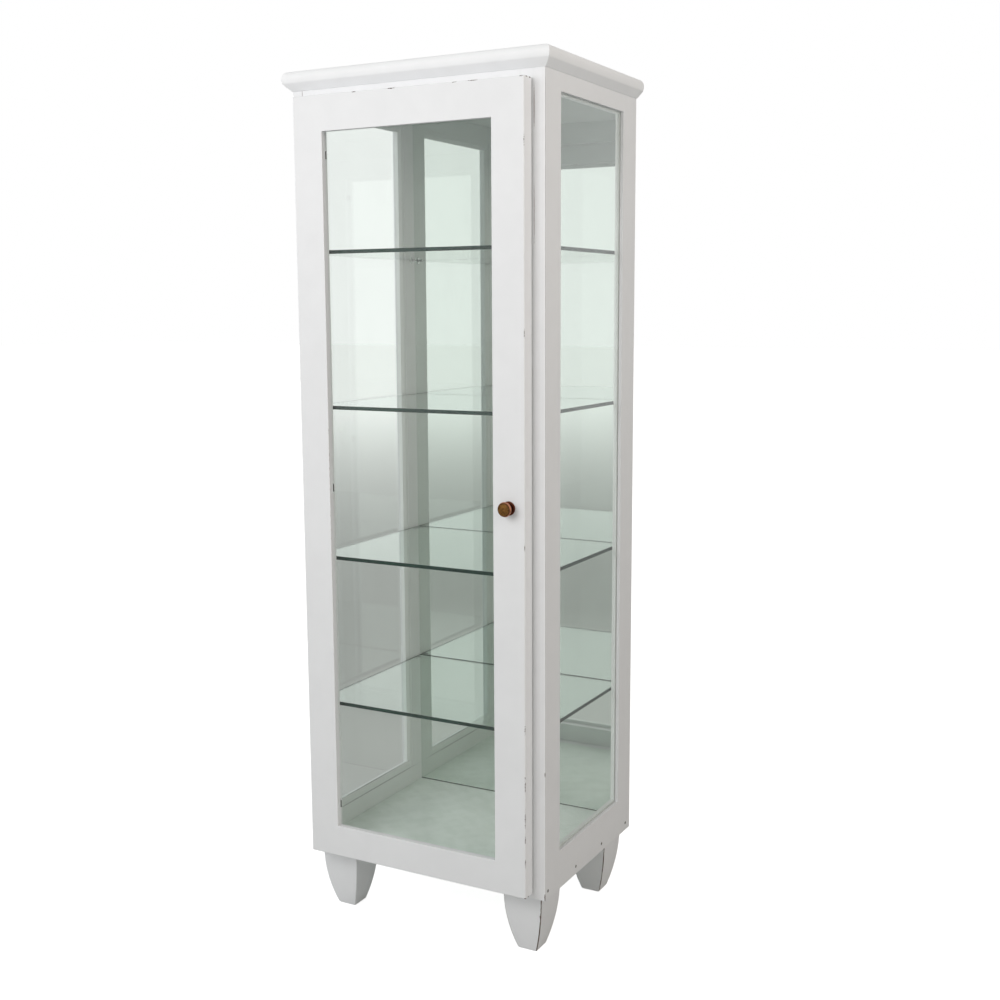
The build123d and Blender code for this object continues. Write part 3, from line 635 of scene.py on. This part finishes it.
@dataclass(frozen=True)
class Board:
    """Bare hardboard, bare wood or rusty iron, with fibres or grain."""

    name: str
    light: Colour
    dark: Colour
    stretch: Triple = (60.0, 60.0, 60.0)
    rough: float = 0.6
    rough_fibres: float = 0.2
    relief: float = 0.0001

    def build(self) -> Material:
        """Draws the board.

        Returns:
            The material.
        """
        s = MaterialSketch(self.name)
        fibres = s.noise(s.vector("MULTIPLY", s.place, self.stretch), 2.0, detail=5.0, rough=0.65)
        mixed = s.shares(fibres, 0.6, s.noise(s.place, 4.0))
        colour = s.blend(s.ramp(mixed, 0.35, 0.66), self.light, self.dark)
        rough = s.maths("MULTIPLY_ADD", fibres, self.rough_fibres, self.rough)
        return s.finish(s.surface(colour, rough, s.maths("MULTIPLY", fibres, self.relief)))


@dataclass(frozen=True)
class Moulded:
    """Plain moulded plastic."""

    name: str
    colour: Colour
    scuffed: Colour
    rough: float = 0.35
    rough_grain: float = 0.2
    relief: float = 0.00002

    def build(self) -> Material:
        """Draws the plastic.

        Returns:
            The material.
        """
        s = MaterialSketch(self.name)
        grain = s.noise(s.place, 1400.0, detail=2.0)
        colour = s.blend(s.ramp(s.noise(s.place, 90.0), 0.45, 0.75), self.colour, self.scuffed)
        rough = s.maths("MULTIPLY_ADD", grain, self.rough_grain, self.rough)
        return s.finish(s.surface(colour, rough, s.maths("MULTIPLY", grain, self.relief)))


@dataclass(frozen=True)
class PaleGround:
    """A pale floor that looks white and keeps the cabinet's shadow."""

    name: str
    tone: float = 0.7
    lift: float = 0.8
    far_lift: float = 0.6
    near: float = 1.5
    far: float = 16.0

    def build(self) -> Material:
        """Draws the floor: a shaded tone, lifted to white in the view and, far off, in gloss and glass.

        Returns:
            The material.
        """
        s = MaterialSketch(self.name)
        shaded = s.add("ShaderNodeBsdfDiffuse", {"Color": (self.tone, self.tone, self.tone, 1.0)})
        away = s.ramp(s.vector("LENGTH", s.place), self.near, self.far, 0.0, self.far_lift)
        mirrored = s.maths("MULTIPLY", s.rays("Glossy", "Transmission"), away)
        lift = s.maths("MULTIPLY_ADD", s.rays("Camera"), self.lift, mirrored)
        glow = s.add("ShaderNodeEmission", {"Color": WHITE, "Strength": lift})
        return s.finish(s.add("ShaderNodeAddShader", {0: shaded.outputs[0], 1: glow.outputs[0]}).outputs[0])


def put(thing: bpy.types.Object) -> None:
    """Puts an object in the scene."""
    bpy.context.scene.collection.objects.link(thing)


def cut_many_sided(mesh: BMesh) -> None:
    """Cuts the faces with more than four sides into triangles."""
    bmesh.ops.triangulate(mesh, faces=[face for face in mesh.faces if len(face.verts) > 4])


def settle(mesh: BMesh, name: str, materials: list[Material]) -> Mesh:
    """Turns a worked mesh into mesh data with its materials.

    Args:
        mesh: The worked mesh, which is then freed.
        name: The data's name.
        materials: Its materials.

    Returns:
        The mesh data.
    """
    data = bpy.data.meshes.new(name)
    mesh.to_mesh(data)
    mesh.free()
    for material in materials:
        data.materials.append(material)
    return data


def smooth(mesh: Mesh, angle: float = 40.0) -> None:
    """Shades round forms smooth and keeps flat faces flat, by weighing each corner's faces by their area.

    Args:
        mesh: The mesh.
        angle: Degrees between two faces above which their edge stays sharp.
    """
    limit = math.cos(math.radians(angle))
    around: dict[int, list[int]] = {}
    for face in mesh.polygons:
        face.use_smooth = True
        for vertex in face.vertices:
            around.setdefault(vertex, []).append(face.index)
    faces = [(face.normal.copy(), face.area) for face in mesh.polygons]
    normals = []
    for face in mesh.polygons:
        own = faces[face.index][0]
        for vertex in face.vertices:
            total = Vector()
            for other in around[vertex]:
                normal, area = faces[other]
                if normal.dot(own) > limit:
                    total += normal * area
            normals.append(total.normalized() if total.length > 0 else own)
    mesh.normals_split_custom_set(normals)


@dataclass
class Piece:
    """A worked piece that stands for one of the frame's nodes."""

    node: str
    body: str

    def clean_copy(self, touching: bool = False) -> BMesh:
        """The node's mesh, with its flat faces made whole again.

        Args:
            touching: True for a group of pieces that touch, which is copied as it is.

        Returns:
            The copy.
        """
        mesh = bmesh.new()
        mesh.from_mesh(NODES[self.node].data)
        if not touching:
            bmesh.ops.remove_doubles(mesh, verts=mesh.verts, dist=WELD)
            bmesh.ops.dissolve_limit(mesh, angle_limit=FLAT, verts=mesh.verts, edges=mesh.edges)
        return mesh

    def show(self, data: Mesh, name: str) -> None:
        """Puts the finished mesh in the scene, in its node's place.

        Args:
            data: The mesh, in the row frame.
            name: The piece's name.
        """
        piece = bpy.data.objects.new(name, data)
        put(piece)
        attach(piece, self.body)
        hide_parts(self.node)
        LOG.info("%s: %d faces on %s", name, len(data.polygons), self.body)

    def show_painted(self, mesh: BMesh, made: str, materials: list[Material]) -> None:
        """Shades a painted mesh, stores its corners for the paint to read, and shows it.

        Args:
            mesh: The worked mesh.
            made: How it was made.
            materials: Its materials.
        """
        data = settle(mesh, f"{self.node}_{made}", materials)
        smooth(data)
        for name, corner in zip(CORNERS.values(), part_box(self.node)):
            layer = data.attributes.new(name, "FLOAT_VECTOR", "POINT")
            layer.data.foreach_set("vector", [value for _ in data.vertices for value in corner])
        self.show(data, self.node + "_skin")


@dataclass
class Timber(Piece):
    """One painted board: a copy of its node, with eased arrises.

    Its inner paint covers the faces that look the inward ways. Arrises on the levels in keep_square stay
    sharp. At a joint's level they do so only outside the two cuts, where the rails meet it.
    """

    material: Material
    inner: Material | None = None
    inward: tuple[Level, ...] = ()
    ease: float = 0.0
    touching: bool = False
    keep_square: tuple[Level, ...] = ()
    cuts: tuple[float, ...] = ()
    joint: Level | None = None
    near: float = 1e-4
    on_face: float = 1e-5
    shortest: float = 0.012
    sharp: float = 0.9

    def at_joint(self, middle: Vector) -> bool:
        """Whether an edge lies against a neighbour.

        Args:
            middle: The edge's middle.

        Returns:
            True where it does.
        """
        square = self.keep_square
        if self.joint is not None and not self.cuts[0] < middle.z < self.cuts[1]:
            square += (self.joint,)
        return any(abs(middle[axis] - place) < self.near for axis, place in square)

    def eased_edges(self, mesh: BMesh) -> list[bmesh.types.BMEdge]:
        """Picks the long outer arrises that no neighbour covers.

        Args:
            mesh: The board's mesh.

        Returns:
            The edges to ease.
        """
        low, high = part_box(self.node)
        chosen = []
        for edge in mesh.edges:
            if not edge.is_manifold or not edge.is_convex or edge.calc_length() < self.shortest:
                continue
            if edge.calc_face_angle(0.0) < self.sharp:
                continue
            middle = (edge.verts[0].co + edge.verts[1].co) / 2
            gaps = (min(abs(middle[i] - low[i]), abs(middle[i] - high[i])) for i in range(3))
            if sum(gap < self.on_face for gap in gaps) >= 2 and not self.at_joint(middle):
                chosen.append(edge)
        return chosen

    def build(self) -> None:
        """Makes the board."""
        mesh = self.clean_copy(self.touching)
        for height in self.cuts:
            every = [*mesh.verts, *mesh.edges, *mesh.faces]
            bmesh.ops.bisect_plane(mesh, geom=every, plane_co=(0.0, 0.0, height), plane_no=(0.0, 0.0, 1.0))
        edges = self.eased_edges(mesh) if self.ease > 0 else []
        if edges:
            bmesh.ops.bevel(mesh, geom=edges, offset=self.ease, segments=3, profile=0.5, affect="EDGES",
                            clamp_overlap=False)
        cut_many_sided(mesh)
        materials = [self.material]
        if self.inner is not None:
            materials.append(self.inner)
            for face in mesh.faces:
                inward = any(face.normal[axis] * way > LOOKING for axis, way in self.inward)
                face.material_index = int(inward)
        self.show_painted(mesh, "timber", materials)


# The faces that look into the case: a little greener, and with dark lines along the foot of the side panes.
PANE_FOOT_DARK = rgb(92, 104, 102)
INSIDE_FACES = Paint(
    "inner_faces", top=rgb(236, 241, 239), shade=rgb(230, 236, 233), arris=Arris.HIDDEN,
    stains_and_shade=(Mark((0.0, 0.029, 0.2152), (9.0, 0.2, 0.0009), 0.5, PANE_FOOT_DARK),
            Mark((-0.2795, 0.029, 0.2335), (0.0035, 0.2, 0.001), 0.5, PANE_FOOT_DARK)))


@dataclass
class CaseFrame:
    """The painted timber case: side frames, posts, rails, top and back beads. Sizes in metres."""

    body: str = "cabinet"
    ease: float = 0.0009
    rail_ease: float = 0.0005
    front: float = -0.199
    right: float = 0.3
    x_in: float = 0.276
    z_top: float = 1.856
    side_sight: tuple[float, float, float, float] = (-0.128, 0.186, 0.228, 1.801)
    nail_radius: float = 0.0026
    nails: int = 4

    def head_shade_and_grime(self) -> tuple[Mark, ...]:
        """A dark line where the door's head meets the case: painted shade of the gap above the door, with
        some grime.
        """
        return (Mark((0.0, self.front - 0.0005, 1.8205), (0.3, 0.004, 0.0016), 0.5),)

    def rust(self) -> tuple[Mark, ...]:
        """Rusty rings round the nails, on both sides of the case.

        Returns:
            The marks.
        """
        low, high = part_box("side_nails")
        first, last = low.y + self.nail_radius, high.y - self.nail_radius
        places = (first + (last - first) * step / (self.nails - 1) for step in range(self.nails))
        return tuple(Mark((0.0, y, low.z + self.nail_radius), (9.0, 0.0037, 0.0037), 0.8, rgb(104, 88, 82))
                     for y in places)

    def seams(self) -> tuple[Mark, ...]:
        """Dirty cracks between the side frames and the posts, widest near the head of the right one."""
        edge, front = self.x_in, self.front
        return (Mark((edge, front, 1.765), (0.0011, 0.0012, 0.042), 0.3),
                Mark((-edge, front, 1.829), (0.0008, 0.0012, 0.01), 0.3),
                Mark((edge, front, 1.56), (0.0007, 0.0012, 0.06), 0.5))

    def chips(self) -> tuple[Mark, ...]:
        """Chips low on the right front stile."""
        return (Mark((self.right, self.front, 0.15), (0.0016, 0.0016, 0.009)),
                Mark((self.right, self.front, 0.42), (0.001, 0.001, 0.006)))

    def build(self) -> None:
        """Makes every board of the case."""
        y0, y1, z0, z1 = self.side_sight
        rust = self.rust()
        upright = Paint("case_paint_upright", chips=self.chips(), stains_and_shade=self.seams() + rust).build()
        deep = Paint("case_paint_deep", run=Run.DEEP, stains_and_shade=rust).build()
        # The rails across carry the line of painted shade and grime along the door's head.
        across = Paint("case_paint_across", run=Run.ACROSS, wear_amount=0.34,
                       stains_and_shade=self.head_shade_and_grime()).build()
        hidden = Paint("case_paint_plain", run=Run.MIXED, arris=Arris.HIDDEN).build()
        inside = INSIDE_FACES.build()
        head = (2, self.z_top)
        for side, sign in (("left", -1.0), ("right", 1.0)):
            inner = (0, sign * self.x_in)
            into = (0, -sign)
            for stile, y in (("_front_stile", y0), ("_rear_stile", y1)):
                Timber(side + stile, self.body, upright, inside, (into,), self.ease,
                       keep_square=(inner, head), cuts=(z0, z1), joint=(1, y)).build()
            for rail, square in (("_top_rail", (inner, head)), ("_bottom_rail", (inner,))):
                Timber(side + rail, self.body, deep, inside, (into,), self.ease,
                       keep_square=square + ((1, y0), (1, y1))).build()
            Timber(side + "_glass_beads", self.body, inside, touching=True).build()
            Timber("front_post_" + side, self.body, upright, inside, ((1, 1.0), into),
                   self.rail_ease).build()
        for node in ("front_top_rail", "front_bottom_rail", "back_bottom_rail"):
            inward = ((1, 1.0),) if node.startswith("front") else ()
            Timber(node, self.body, across, inside, inward, self.rail_ease, keep_square=(head,)).build()
        Timber("top_board", self.body, hidden, inside, ((2, -1.0),)).build()
        Timber("back_beads", self.body, hidden, touching=True).build()


@dataclass
class Cornice:
    """The moulding round the top, mitred at the front corners."""

    body: str = "cabinet"
    paint: Colour = rgb(246, 247, 249)
    shade: Colour = rgb(242, 243, 245)

    def build(self) -> None:
        """Makes the three lengths."""
        for side, run in (("front", Run.ACROSS), ("left", Run.DEEP), ("right", Run.DEEP)):
            node = "cornice_" + side
            paint = Paint(node + "_paint", top=self.paint, shade=self.shade, run=run, arris=Arris.HIDDEN)
            Timber(node, self.body, paint.build()).build()


@dataclass
class Foot(Piece):
    """A four-sided foot with bulging faces and eased arrises. Sizes in metres."""

    material: Material
    levels: int = 28
    base_levels: int = 6
    corner_steps: int = 4
    taper: float = 0.024
    ease: float = 0.0022
    base_round: float = 0.0045

    def inset(self, height: float, tall: float) -> float:
        """How far the faces have curved in at a height.

        Args:
            height: Height above the floor.
            tall: The foot's height.

        Returns:
            The inset.
        """
        radius = (tall ** 2 + self.taper ** 2) / (2 * self.taper)
        curve = radius - math.sqrt(radius ** 2 - (tall - height) ** 2)
        rise = max(self.base_round - height, 0.0)
        return curve + self.base_round - math.sqrt(self.base_round ** 2 - rise ** 2)

    def ring(self, half: float) -> list[tuple[float, float]]:
        """The outline at one level, with rounded corners.

        Args:
            half: Half the width there.

        Returns:
            Points round the outline.
        """
        points = []
        for corner, (x_side, y_side) in enumerate(((1, 1), (-1, 1), (-1, -1), (1, -1))):
            centre_x, centre_y = (half - self.ease) * x_side, (half - self.ease) * y_side
            for step in range(self.corner_steps + 1):
                angle = (corner + step / self.corner_steps) * math.pi / 2
                points.append((centre_x + self.ease * math.cos(angle),
                               centre_y + self.ease * math.sin(angle)))
        return points

    def build(self) -> None:
        """Makes the foot."""
        low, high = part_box(self.node)
        middle = (low + high) / 2
        half = (high.x - low.x) / 2
        tall = high.z - low.z
        straight = tall - self.base_round
        heights = [self.base_round * step / self.base_levels for step in range(self.base_levels)]
        heights += [self.base_round + straight * step / self.levels for step in range(self.levels + 1)]
        mesh = bmesh.new()
        rings = []
        for z in heights:
            outline = self.ring(half - self.inset(z, tall))
            rings.append([mesh.verts.new((middle.x + x, middle.y + y, low.z + z)) for x, y in outline])
        for lower, upper in zip(rings, rings[1:]):
            for i, j in zip(range(len(lower)), [*range(1, len(lower)), 0]):
                mesh.faces.new((lower[i], lower[j], upper[j], upper[i]))
        mesh.faces.new(list(reversed(rings[0])))
        mesh.faces.new(rings[-1])
        bmesh.ops.recalc_face_normals(mesh, faces=mesh.faces)
        self.show_painted(mesh, "turned", [self.material])


@dataclass
class Feet:
    """The four feet, the right ones more worn."""

    body: str = "cabinet"
    chips: tuple[Mark, ...] = (Mark((0.283, -0.182, 0.124), (0.0022, 0.0022, 0.022), 0.5),
                               Mark((0.2815, -0.1805, 0.092), (0.0046, 0.003, 0.008), 0.8),
                               Mark((0.283, 0.148, 0.12), (0.0024, 0.0024, 0.02), 0.6))

    def build(self) -> None:
        """Makes the four feet."""
        sound = Paint("foot_paint", arris=Arris.FOUR_SIDED).build()
        worn = Paint("foot_paint_worn", arris=Arris.FOUR_SIDED, wear_amount=0.6, wear_width=0.0019,
                     chips=self.chips).build()
        for row in ("front", "rear"):
            for side, paint in (("left", sound), ("right", worn)):
                Foot(f"foot_{row}_{side}", self.body, paint).build()


@dataclass
class Door:
    """The framed door's stiles and rails. Sizes in metres."""

    body: str = "door"
    ease: float = 0.0009
    sight: tuple[float, float, float, float] = (-0.2035, 0.1995, 0.226, 1.746)
    front: float = -0.234
    right: float = 0.272
    head: float = 1.819
    foot: float = 0.155
    # Painted light: a lighter colour for the door's right-facing side, standing in for the light that falls
    # on it.
    painted_light_flank: Colour = rgb(248, 249, 251)

    def chips(self) -> tuple[Mark, ...]:
        """Chips at the corners and along the opening edge.

        Returns:
            The marks.
        """
        edge, front, head, foot = self.right, self.front, self.head, self.foot
        corners = (Mark((edge - 0.006, front, head), (0.0042, 0.003, 0.0016), 1.2),
                   Mark((edge, -0.224, head), (0.002, 0.004, 0.0018), 1.2),
                   Mark((edge, -0.21, head), (0.002, 0.004, 0.0022), 1.2),
                   Mark((edge - 0.001, front, foot), (0.004, 0.003, 0.0028), 0.8),
                   Mark((edge, -0.222, foot), (0.002, 0.004, 0.0022), 0.8))
        lengths = {0.405: 0.024, 0.332: 0.026, 0.284: 0.014, 0.235: 0.012, 0.52: 0.014, 0.9: 0.01,
                   1.33: 0.012, 1.7: 0.016}
        return corners + tuple(Mark((edge, front, z), (0.0013, 0.0013, reach), 1.0)
                               for z, reach in lengths.items())

    def head_wear(self) -> tuple[Mark, ...]:
        """Short worn dashes along the head's front arris."""
        lengths = {0.16: 0.014, 0.118: 0.006, -0.03: 0.01, -0.12: 0.005}
        return tuple(Mark((x, self.front, self.head + 0.0002), (reach, 0.0022, 0.0014), 1.2)
                     for x, reach in lengths.items())

    def build(self) -> None:
        """Makes the door."""
        x0, x1, z0, z1 = self.sight
        upright = Paint("door_paint_upright", painted_light_flank=self.painted_light_flank, wear_amount=0.42, wear_width=0.0013,
                        chips=self.chips()).build()
        across = Paint("door_paint_across", run=Run.ACROSS, chips=self.head_wear()).build()
        inside = INSIDE_FACES.build()
        inward = ((1, 1.0),)
        for node, x in (("door_hinge_stile", x0), ("door_knob_stile", x1)):
            Timber(node, self.body, upright, inside, inward, self.ease, cuts=(z0, z1), joint=(0, x)).build()
        for node in ("door_top_rail", "door_bottom_rail"):
            Timber(node, self.body, across, inside, inward, self.ease,
                   keep_square=((0, x0), (0, x1))).build()


@dataclass
class Shelves:
    """Four glass shelves, clear on their faces and dark green at their edges."""

    clear: Pane = Pane("shelf_glass", tint=rgb(238, 248, 243))
    edge: GroundEdge = GroundEdge("shelf_edge")
    body: str = "cabinet"
    count: int = 4
    level: float = 0.9

    def build(self) -> None:
        """Makes the shelves."""
        materials = [self.clear.build(), self.edge.build()]
        for number in range(1, self.count + 1):
            shelf = Piece(f"shelf_{number}", self.body)
            mesh = shelf.clean_copy()
            for face in mesh.faces:
                face.material_index = 0 if abs(face.normal.z) > self.level else 1
            cut_many_sided(mesh)
            name = shelf.node + "_sheet"
            shelf.show(settle(mesh, name, materials), name)


@dataclass
class Fittings:
    """Glass, mirror, metal and other pieces that keep their frame meshes."""

    rust_cells: Triple = (900.0, 900.0, 900.0)
    clip_cells: Triple = (300.0, 300.0, 300.0)
    grain: Triple = (8.0, 8.0, 1.0)

    def dress(self) -> None:
        """Gives each piece its finish."""
        low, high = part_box("knob_rosette")
        knob_axis = ((low.x + high.x) / 2, high.y, (low.z + high.z) / 2)
        finishes = (
            (Pane("clear_pane"), ("left_glass", "right_glass", "door_glass")),
            (Silvering("silvering"), ("mirror",)),
            (InsidePaint("inside_paint"), ("cabinet_floor",)),
            (Board("hardboard", rgb(150, 116, 80), rgb(116, 86, 58)), ("back_panel",)),
            (Board("dowel_wood", rgb(206, 170, 120), rgb(170, 130, 84), self.grain),
             ("foot_dowels", "top_dowels")),
            (AgedBronze("aged_bronze", knob_axis), ("knob", "knob_rosette")),
            (Metal("dull_brass", rgb(190, 160, 100), rgb(110, 84, 50), 0.28),
             ("hinge_frame_leaves", "hinge_door_leaves", "hinge_pins", "hinge_frame_screws",
              "hinge_door_screws")),
            (Metal("dull_steel", rgb(150, 146, 140), rgb(84, 76, 70), 0.35),
             ("knob_screw", "catch_screws", "catch_strike", "strike_screws", "back_bead_pins",
              "door_clip_pins")),
            (Board("nail_rust", rgb(58, 48, 44), rgb(34, 27, 25), self.rust_cells), ("side_nails",)),
            (Metal("bright_plate", rgb(222, 222, 220), rgb(170, 170, 168), 0.1), ("shelf_supports",)),
            (Board("dark_clip", rgb(62, 58, 50), rgb(38, 35, 30), self.clip_cells), ("door_glass_clips",)),
            (Moulded("catch_plastic", rgb(226, 222, 210), rgb(204, 200, 188)), ("catch_body",)))
        for finish, nodes in finishes:
            material = finish.build()
            for node in nodes:
                piece = NODES[node]
                piece.data.materials.clear()
                piece.data.materials.append(material)
                LOG.info("%s: %s", node, finish.name)


@dataclass(frozen=True)
class Lamp:
    """A round soft lamp, unseen in gloss and glass."""

    name: str
    place: Triple
    aim: Triple
    size: float
    power: float
    colour: Triple

    def hang(self) -> None:
        """Hangs the lamp where it belongs."""
        data = bpy.data.lights.new(self.name, "AREA")
        data.shape = "DISK"
        data.size = self.size
        data.energy = self.power
        data.color = self.colour
        lamp = bpy.data.objects.new(self.name, data)
        lamp.location = self.place
        lamp.rotation_euler = (Vector(self.aim) - Vector(self.place)).to_track_quat("-Z", "Y").to_euler()
        lamp.visible_glossy = False
        lamp.visible_transmission = False
        put(lamp)


@dataclass
class Studio:
    """Floor, light and camera. Lengths in metres, the lens and its sensor in millimetres."""

    lens: float = 46.95
    sensor: float = 36.0
    eye: Triple = (1.45259, -2.52547, 1.37873)
    yaw: float = 28.36
    pitch: float = 8.36
    roll: float = -0.28
    farthest: float = 200.0
    sky_left: float = 0.95
    sky_right: float = 0.45
    sky_top: float = 0.6
    cool: Colour = (0.92, 0.99, 1.0, 1.0)
    warm: Colour = (1.0, 0.935, 0.85, 1.0)
    ground: PaleGround = PaleGround("floor_white")
    ground_half: float = 40.0
    lamps: tuple[Lamp, ...] = (
        Lamp("key", (-0.5, -2.2, 2.05), (-0.05, 0.0, 1.8), 1.6, 22.0, (1.0, 0.975, 0.975)),
        Lamp("side_fill", (2.1, -0.75, 2.2), (0.3, 0.0, 1.75), 1.5, 12.5, (1.0, 0.935, 0.875)))

    def camera(self) -> None:
        """Sets the camera at the photograph's angle."""
        yaw, pitch, roll = (math.radians(angle) for angle in (self.yaw, self.pitch, self.roll))
        level = math.cos(pitch)
        ahead = Vector((-math.sin(yaw) * level, math.cos(yaw) * level, -math.sin(pitch)))
        right = Vector((math.cos(yaw), math.sin(yaw), 0.0))
        up = right.cross(ahead)
        side = right * math.cos(roll) + up * math.sin(roll)
        head = up * math.cos(roll) - right * math.sin(roll)
        data = bpy.data.cameras.new("camera")
        data.sensor_width = self.sensor
        data.sensor_fit = "HORIZONTAL"
        data.lens = self.lens
        data.clip_end = self.farthest
        camera = bpy.data.objects.new("camera", data)
        turn = Matrix((side, head, -ahead)).transposed().to_4x4()
        camera.matrix_world = Matrix.Translation(self.eye) @ turn
        put(camera)
        bpy.context.scene.camera = camera

    def world(self) -> None:
        """A white room whose light is cool from the left, warm and weaker from the right."""
        world = bpy.data.worlds.new("room")
        bpy.context.scene.world = world
        world.use_nodes = True
        world.node_tree.nodes.clear()
        s = Sketch(world.node_tree)
        x, _, z = s.parts(s.add("ShaderNodeTexCoord").outputs["Generated"])
        turn = s.ramp(x, -0.9, 0.9)
        strength = s.maths("MULTIPLY_ADD", turn, self.sky_right - self.sky_left, self.sky_left)
        lowered = s.maths("MULTIPLY", strength, s.ramp(z, 0.1, 1.0, 1.0, self.sky_top))
        tone = s.blend(turn, self.cool, self.warm)
        light, white = (s.add("ShaderNodeBackground", {"Color": colour, "Strength": power}).outputs[0]
                        for colour, power in ((tone, lowered), (WHITE, 1.0)))
        seen = s.rays("Camera", "Glossy", "Transmission")
        mixed = s.add("ShaderNodeMixShader", {0: seen, 1: light, 2: white})
        s.add("ShaderNodeOutputWorld", {"Surface": mixed.outputs[0]})

    def floor(self) -> None:
        """A pale floor that keeps the cabinet's shadow."""
        mesh = bmesh.new()
        bmesh.ops.create_grid(mesh, x_segments=1, y_segments=1, size=self.ground_half)
        ground = bpy.data.objects.new("floor", settle(mesh, "floor", [self.ground.build()]))
        put(ground)

    def build(self) -> None:
        """Sets the studio up."""
        self.camera()
        self.world()
        self.floor()
        for lamp in self.lamps:
            lamp.hang()
        bpy.context.scene.view_settings.view_transform = "Standard"


def main() -> None:
    """Builds the cabinet and its studio."""
    logging.basicConfig(level=logging.INFO, format="%(name)s %(message)s")
    CaseFrame().build()
    Cornice().build()
    Feet().build()
    Door().build()
    Shelves().build()
    Fittings().dress()
    Studio().build()


if __name__ == "__main__":
    main()
